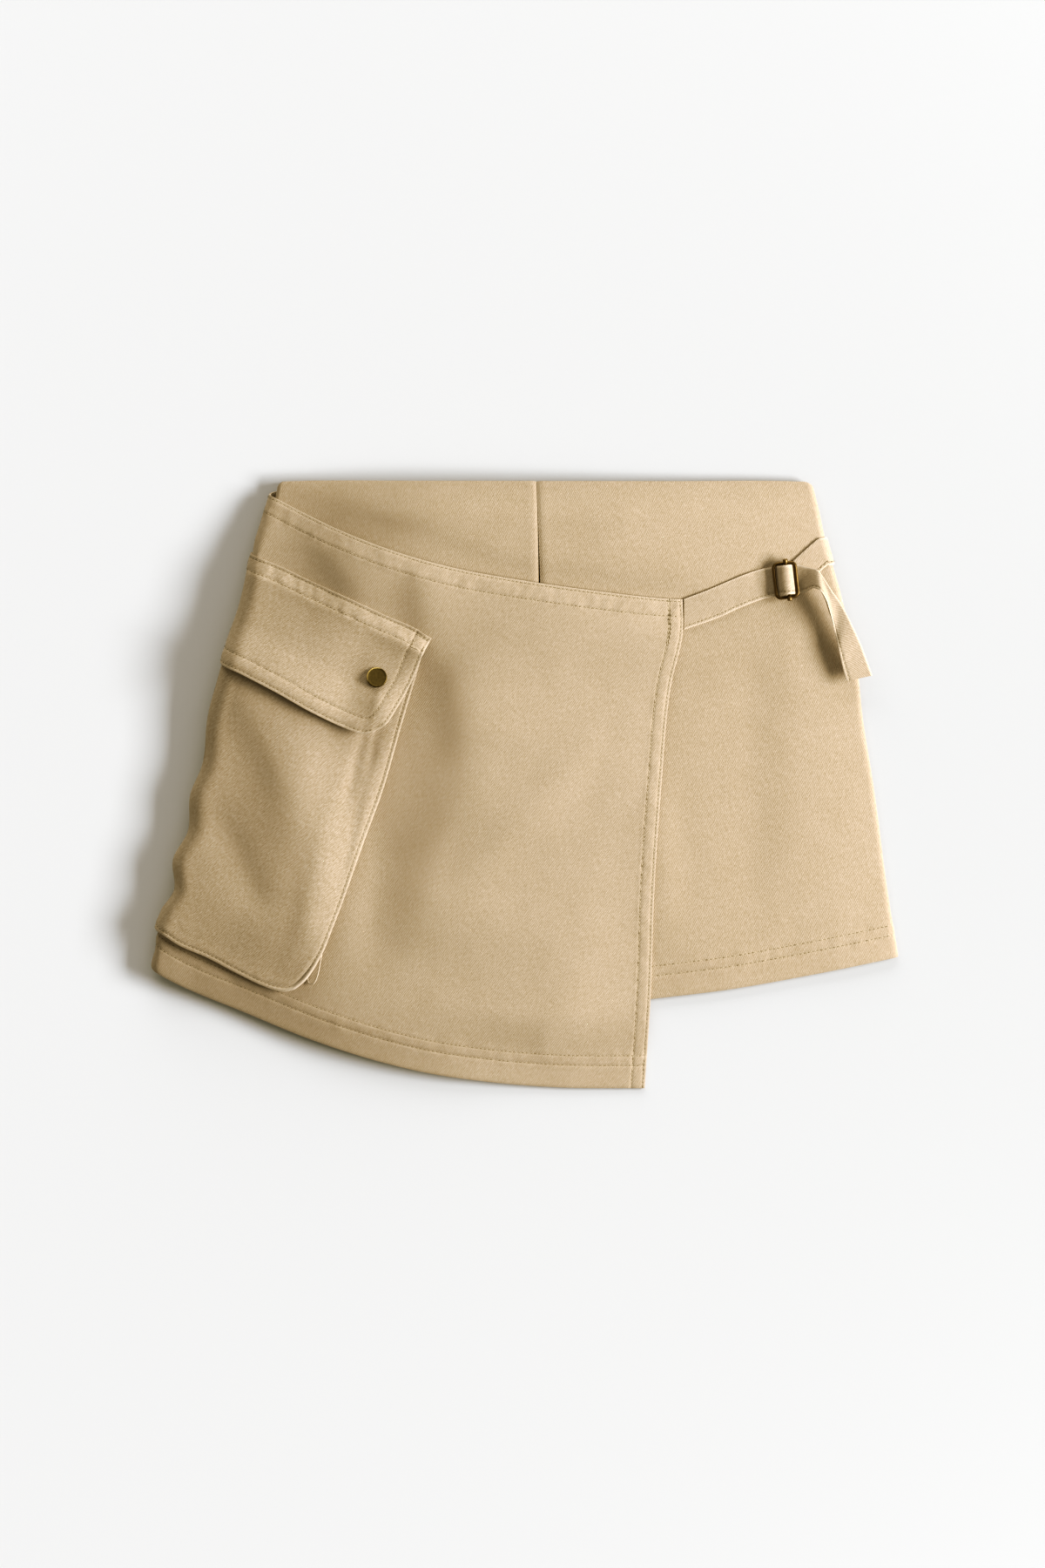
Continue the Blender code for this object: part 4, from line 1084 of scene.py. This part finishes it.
# The rim's bright arc on its lower right side is a painted highlight; the face inside is made a
# little brighter as well
wear_and_glint = []
for vertex in cap.data.vertices:
    radius, turn = vertex.co.xy.length / MM, math.atan2(vertex.co.y, vertex.co.x)
    highlight_side = ease(0.6, 0.9, 0.5 + 0.5 * math.cos(turn + math.radians(SNAP_HIGHLIGHT_SIDE)))
    wear_and_glint.append(0.10 * (1.0 - ease(5.4, 5.9, radius)) + hump(6.4, 0.4, radius) * highlight_side)
paint_wear_and_highlight(cap, wear_and_glint)
point, out = FLAP.lifted(np.array([SNAP_PLACE[0]]), np.array([SNAP_PLACE[1]]), CLOTH / 2 + SEAM)
lean = Vector(out[0]) + Vector(SNAP_LEAN)
settle(cap, lean.to_track_quat("Z", "Y").to_matrix(), point[0])
finished(cap, brass("snap_brass", 0.46, SNAP_DARK, SNAP_BRIGHT), "snap_brass", "snap_cap")

# ----------------------------------------
# Strap: a folded band of twill, stitched along its lower edge and sewn to the wrap's corner. It
# goes under the buckle's frame, over its bar and under the frame again, and its tail hangs free.

BUCKLE_X, BUCKLE_Y, BUCKLE_TILT = 173.7, 135.4, math.radians(6.7)
STRAP_WIDTH = 19.2
BAND_ROW, BAND_PALE_EDGE = 2.0, 0.6  # stitch row up from the lower edge; how pale the edges are painted: rubbed wear and painted highlight
# Columns: upper edge x, y; lower edge x, y; rise of each edge over the shorts' front
STRAP_RUN = [
    (106.3, 123.0, 106.3, 102.8, 1.7, 1.7),
    (123.4, 129.5, 130.0, 111.2, 1.7, 1.7),
    (134.9, 134.4, 141.7, 116.6, 1.7, 1.7),
    (146.6, 139.2, 153.1, 121.2, 1.7, 1.7),
    (157.6, 142.8, 161.4, 123.9, 1.8, 1.8),
]
# Through the buckle: across it, and rise over the shorts' front
STRAP_LOOP = [(-8.5, 2.4), (-5.6, 3.5), (-4.5, 6.0), (-3.3, 8.4), (-1.2, 9.8), (1.2, 10.2),
              (3.3, 9.3), (4.6, 7.4), (4.9, 5.4), (5.8, 3.6), (8.6, 3.5)]
STRAP_TAIL = [
    (187.1, 144.1, 187.6, 127.9, 5.0, 7.0),
    (191.1, 143.0, 191.7, 129.9, 7.0, 11.5),
    (194.6, 141.8, 196.3, 127.9, 9.0, 15.0),
    (196.6, 139.3, 199.8, 122.1, 9.8, 15.6),
    (199.4, 134.9, 201.6, 117.0, 11.0, 14.6),
    (203.5, 128.5, 203.9, 109.9, 12.4, 12.4),
    (209.3, 120.4, 206.3, 100.6, 12.2, 10.2),
    (216.6, 107.0, 208.9, 89.0, 12.0, 10.4),
    (223.6, 91.9, 211.5, 78.0, 10.4, 9.4),
    (231.1, 72.2, 214.3, 68.7, 8.4, 8.0),
]


def buckle_place(across, along, rise):
    """Place on the buckle: across it (along the strap), along its length, and height."""
    x = BUCKLE_X + across * math.cos(BUCKLE_TILT) - along * math.sin(BUCKLE_TILT)
    y = BUCKLE_Y + across * math.sin(BUCKLE_TILT) + along * math.cos(BUCKLE_TILT)
    return x, y, shorts_front(BUCKLE_X, BUCKLE_Y) + rise


class Band(Sheet):
    """A band through sections, each with an upper and a lower edge: w goes across it from its
    upper edge, and t goes along it."""

    def __init__(self, edges, width):
        self.edges, self.width, self.hand = edges, width, 1.0
        self.run = run_along(edges.mean(axis=1))

    def pattern(self, w, t):
        return np.stack([t, -w], axis=-1)

    def surface(self, w, t):
        lower = self.width - w
        height = 0.8 * turned_edge(w) + 0.8 * turned_edge(lower) + stitch_dip(lower, BAND_ROW)
        height += 0.10 * noise(t / 9.0, w / 14.0, 110)
        height += 0.08 * pucker(t, lower, 0.0, 5.0, 111)
        # pale edges: rubbed wear and painted highlight
        return height, BAND_PALE_EDGE * (hump(0.0, 0.9, w) + hump(0.0, 0.9, lower))

    def place(self, w, t):
        w, t = np.broadcast_arrays(np.asarray(w, float), np.asarray(t, float))
        upper, lower = (smooth_line(self.run, self.edges[:, side], t) for side in (0, 1))
        return upper + (lower - upper) * (w / self.width)[..., None]


def strap_sections(rows):
    return [((ux, uy, shorts_front(ux, uy) + ur), (lx, ly, shorts_front(lx, ly) + lr))
            for ux, uy, lx, ly, ur, lr in rows]


sections = strap_sections(STRAP_RUN)
sections += [[buckle_place(across, side * STRAP_WIDTH / 2, rise) for side in (1, -1)]
             for across, rise in STRAP_LOOP]
sections += strap_sections(STRAP_TAIL)
STRAP = Band(np.array(sections, float), STRAP_WIDTH)
fixed, share = stations(ROW_LINES, ROW_LINES, 7)
w, t = np.meshgrid(fixed + share * STRAP_WIDTH, np.linspace(0.0, STRAP.run[-1], 300), indexing="ij")
strap_cloth = finished(sewn_piece("strap_cloth", STRAP, w, t), twill("strap_twill", 36.0),
                       "strap_twill", "strap")
t = np.linspace(1.0, STRAP.run[-1] - 1.0, 200)
row = (STRAP, np.full(200, STRAP_WIDTH - BAND_ROW), t)
strap_thread = stitching("strap_thread", [row], "strap_twill")

# ----------------------------------------
# Side tab: a short band of doubled twill that carries the buckle's bar. It runs up over the
# shorts to the right side and is caught in the side seam.

# Columns: upper edge x, y; lower edge x, y
TAB_RUN = [
    (178.2, 147.6, 180.4, 129.6),
    (182.5, 151.6, 187.5, 135.0),
    (190.0, 158.4, 195.0, 140.2),
]
TAB_WIDTH = 19.0
TAB_SIDE_UPPER, TAB_SIDE_LOWER = 37.0, 55.5  # down the right fold line
TAB_TURNS = (1.0, 0.75, 0.5, 0.3, 0.16)  # shares of the side's roll, from flat to its edge

upper = [SHORTS_RIGHT.unfold(x, y) for x, y, _, _ in TAB_RUN]
lower = [SHORTS_RIGHT.unfold(x, y) for _, _, x, y in TAB_RUN]
for turn in TAB_TURNS:
    upper.append((turn * RIGHT_SIDE.reach(TAB_SIDE_UPPER), TAB_SIDE_UPPER))
    lower.append((turn * RIGHT_SIDE.reach(TAB_SIDE_LOWER), TAB_SIDE_LOWER))
sections = np.arange(len(upper))
fine = np.linspace(0.0, sections[-1], 56)
upper, lower = (smooth_line(sections, edge, fine) for edge in (upper, lower))
fixed, share = stations(ROW_LINES, ROW_LINES, 8)


def across_tab(down):
    """Places on the tab at a share of the way down from its upper edge to its lower one."""
    return [upper[:, k] + (lower[:, k] - upper[:, k]) * down for k in (0, 1)]


down = (share + fixed / TAB_WIDTH)[:, None]
w, t = across_tab(down)
edge_in = TAB_WIDTH * np.minimum(down, 1.0 - down)
height = LAYER + turned_edge(edge_in) + stitch_dip(TAB_WIDTH * (1.0 - down), BAND_ROW) + 0.0 * w
# its edges painted pale: rubbed wear and painted highlight
tab_cloth = cloth_piece("side_tab_cloth", RIGHT_SIDE.lifted(w, t, height)[0],
                        RIGHT_SIDE.pattern(w, t), BAND_PALE_EDGE * hump(0.0, 0.9, edge_in) + 0.0 * w)
finished(tab_cloth, twill("tab_twill", 58.0), "tab_twill", "side_tab")
row = (RIGHT_SIDE, *across_tab(1.0 - BAND_ROW / TAB_WIDTH), LAYER)
tab_thread = stitching("side_tab_thread", [row], "tab_twill")

# ----------------------------------------
# Buckle: a rectangle of bent brass wire with a loose bar across it, both darkened. The strap
# holds the bar down on the frame.

WIRE = 2.2  # thickness of the frame's wire
FRAME_LENGTH, FRAME_WIDTH = 25.0, 16.8
FRAME_CORNER = 3.2  # corner radius along the wire's middle
FRAME_RISE = 5.6  # height of the wire's middle over the middle of the shorts' front
BAR_LENGTH, BAR = 28.0, 2.0  # length and thickness of the bar
KNOB = 1.6  # radius of the bar's thicker ends
BAR_RISE = FRAME_RISE + WIRE / 2 + SEAM + BAR / 2
BAR_OFFSET = 1.0  # the bar lies this far right of the frame's middle
BRASS_WORN = 0.30  # how bright its outsides are rubbed

buckle_brass = brass("buckle_brass", 0.44, (0.072, 0.048, 0.021, 1.0), (0.27, 0.19, 0.105, 1.0))
buckle = added(bpy.ops.mesh.primitive_plane_add, "buckle_frame_brass", size=MM)
bpy.ops.object.mode_set(mode="EDIT")
bpy.ops.mesh.select_all(action="SELECT")
bpy.ops.transform.resize(value=(FRAME_WIDTH - WIRE, FRAME_LENGTH - WIRE, 1.0))
bpy.ops.mesh.bevel(offset=FRAME_CORNER * MM, segments=7, affect="VERTICES")
bpy.ops.mesh.select_all(action="SELECT")
bpy.ops.mesh.delete(type="ONLY_FACE")
bpy.ops.object.mode_set(mode="OBJECT")
buckle = wire(buckle, WIRE, bevel_resolution=4)
wear_and_glint = []
for vertex in buckle.data.vertices:
    x, y, z = vertex.co / MM
    outside = max(abs(x) - (FRAME_WIDTH - WIRE) / 2, abs(y) - (FRAME_LENGTH - WIRE) / 2) / WIRE
    wear_and_glint.append(BRASS_WORN * ease(0.0, 0.5, outside) + 0.15 * noise(x / 3.0, y / 3.0, 120))
paint_wear_and_highlight(buckle, wear_and_glint)
turn = Matrix.Rotation(BUCKLE_TILT, 3, "Z")
settle(buckle, turn, buckle_place(0.0, 0.0, FRAME_RISE))
finished(buckle, buckle_brass, "buckle_brass", "buckle_frame")

half = BAR_LENGTH / 2
knob = [(0.55 * KNOB, half), (0.85 * KNOB, half - 0.2), (KNOB, half - 0.7), (KNOB, half - 2.6),
        (BAR / 2, half - 3.1)]
bar = turned("buckle_bar_brass", [(radius, -place) for radius, place in knob] + knob[::-1], 24)
paint_wear_and_highlight(bar, [BRASS_WORN * ease(half - 4.0, half - 1.0, abs(vertex.co.z) / MM)
                 for vertex in bar.data.vertices])
turn = Matrix.Rotation(BUCKLE_TILT, 3, "Z") @ Matrix.Rotation(math.pi / 2, 3, "X")
settle(bar, turn, buckle_place(BAR_OFFSET, 0.0, BAR_RISE))
finished(bar, buckle_brass, "buckle_brass", "buckle_bar")

# ----------------------------------------
# Finish: the box of the whole is measured.

low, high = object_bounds()
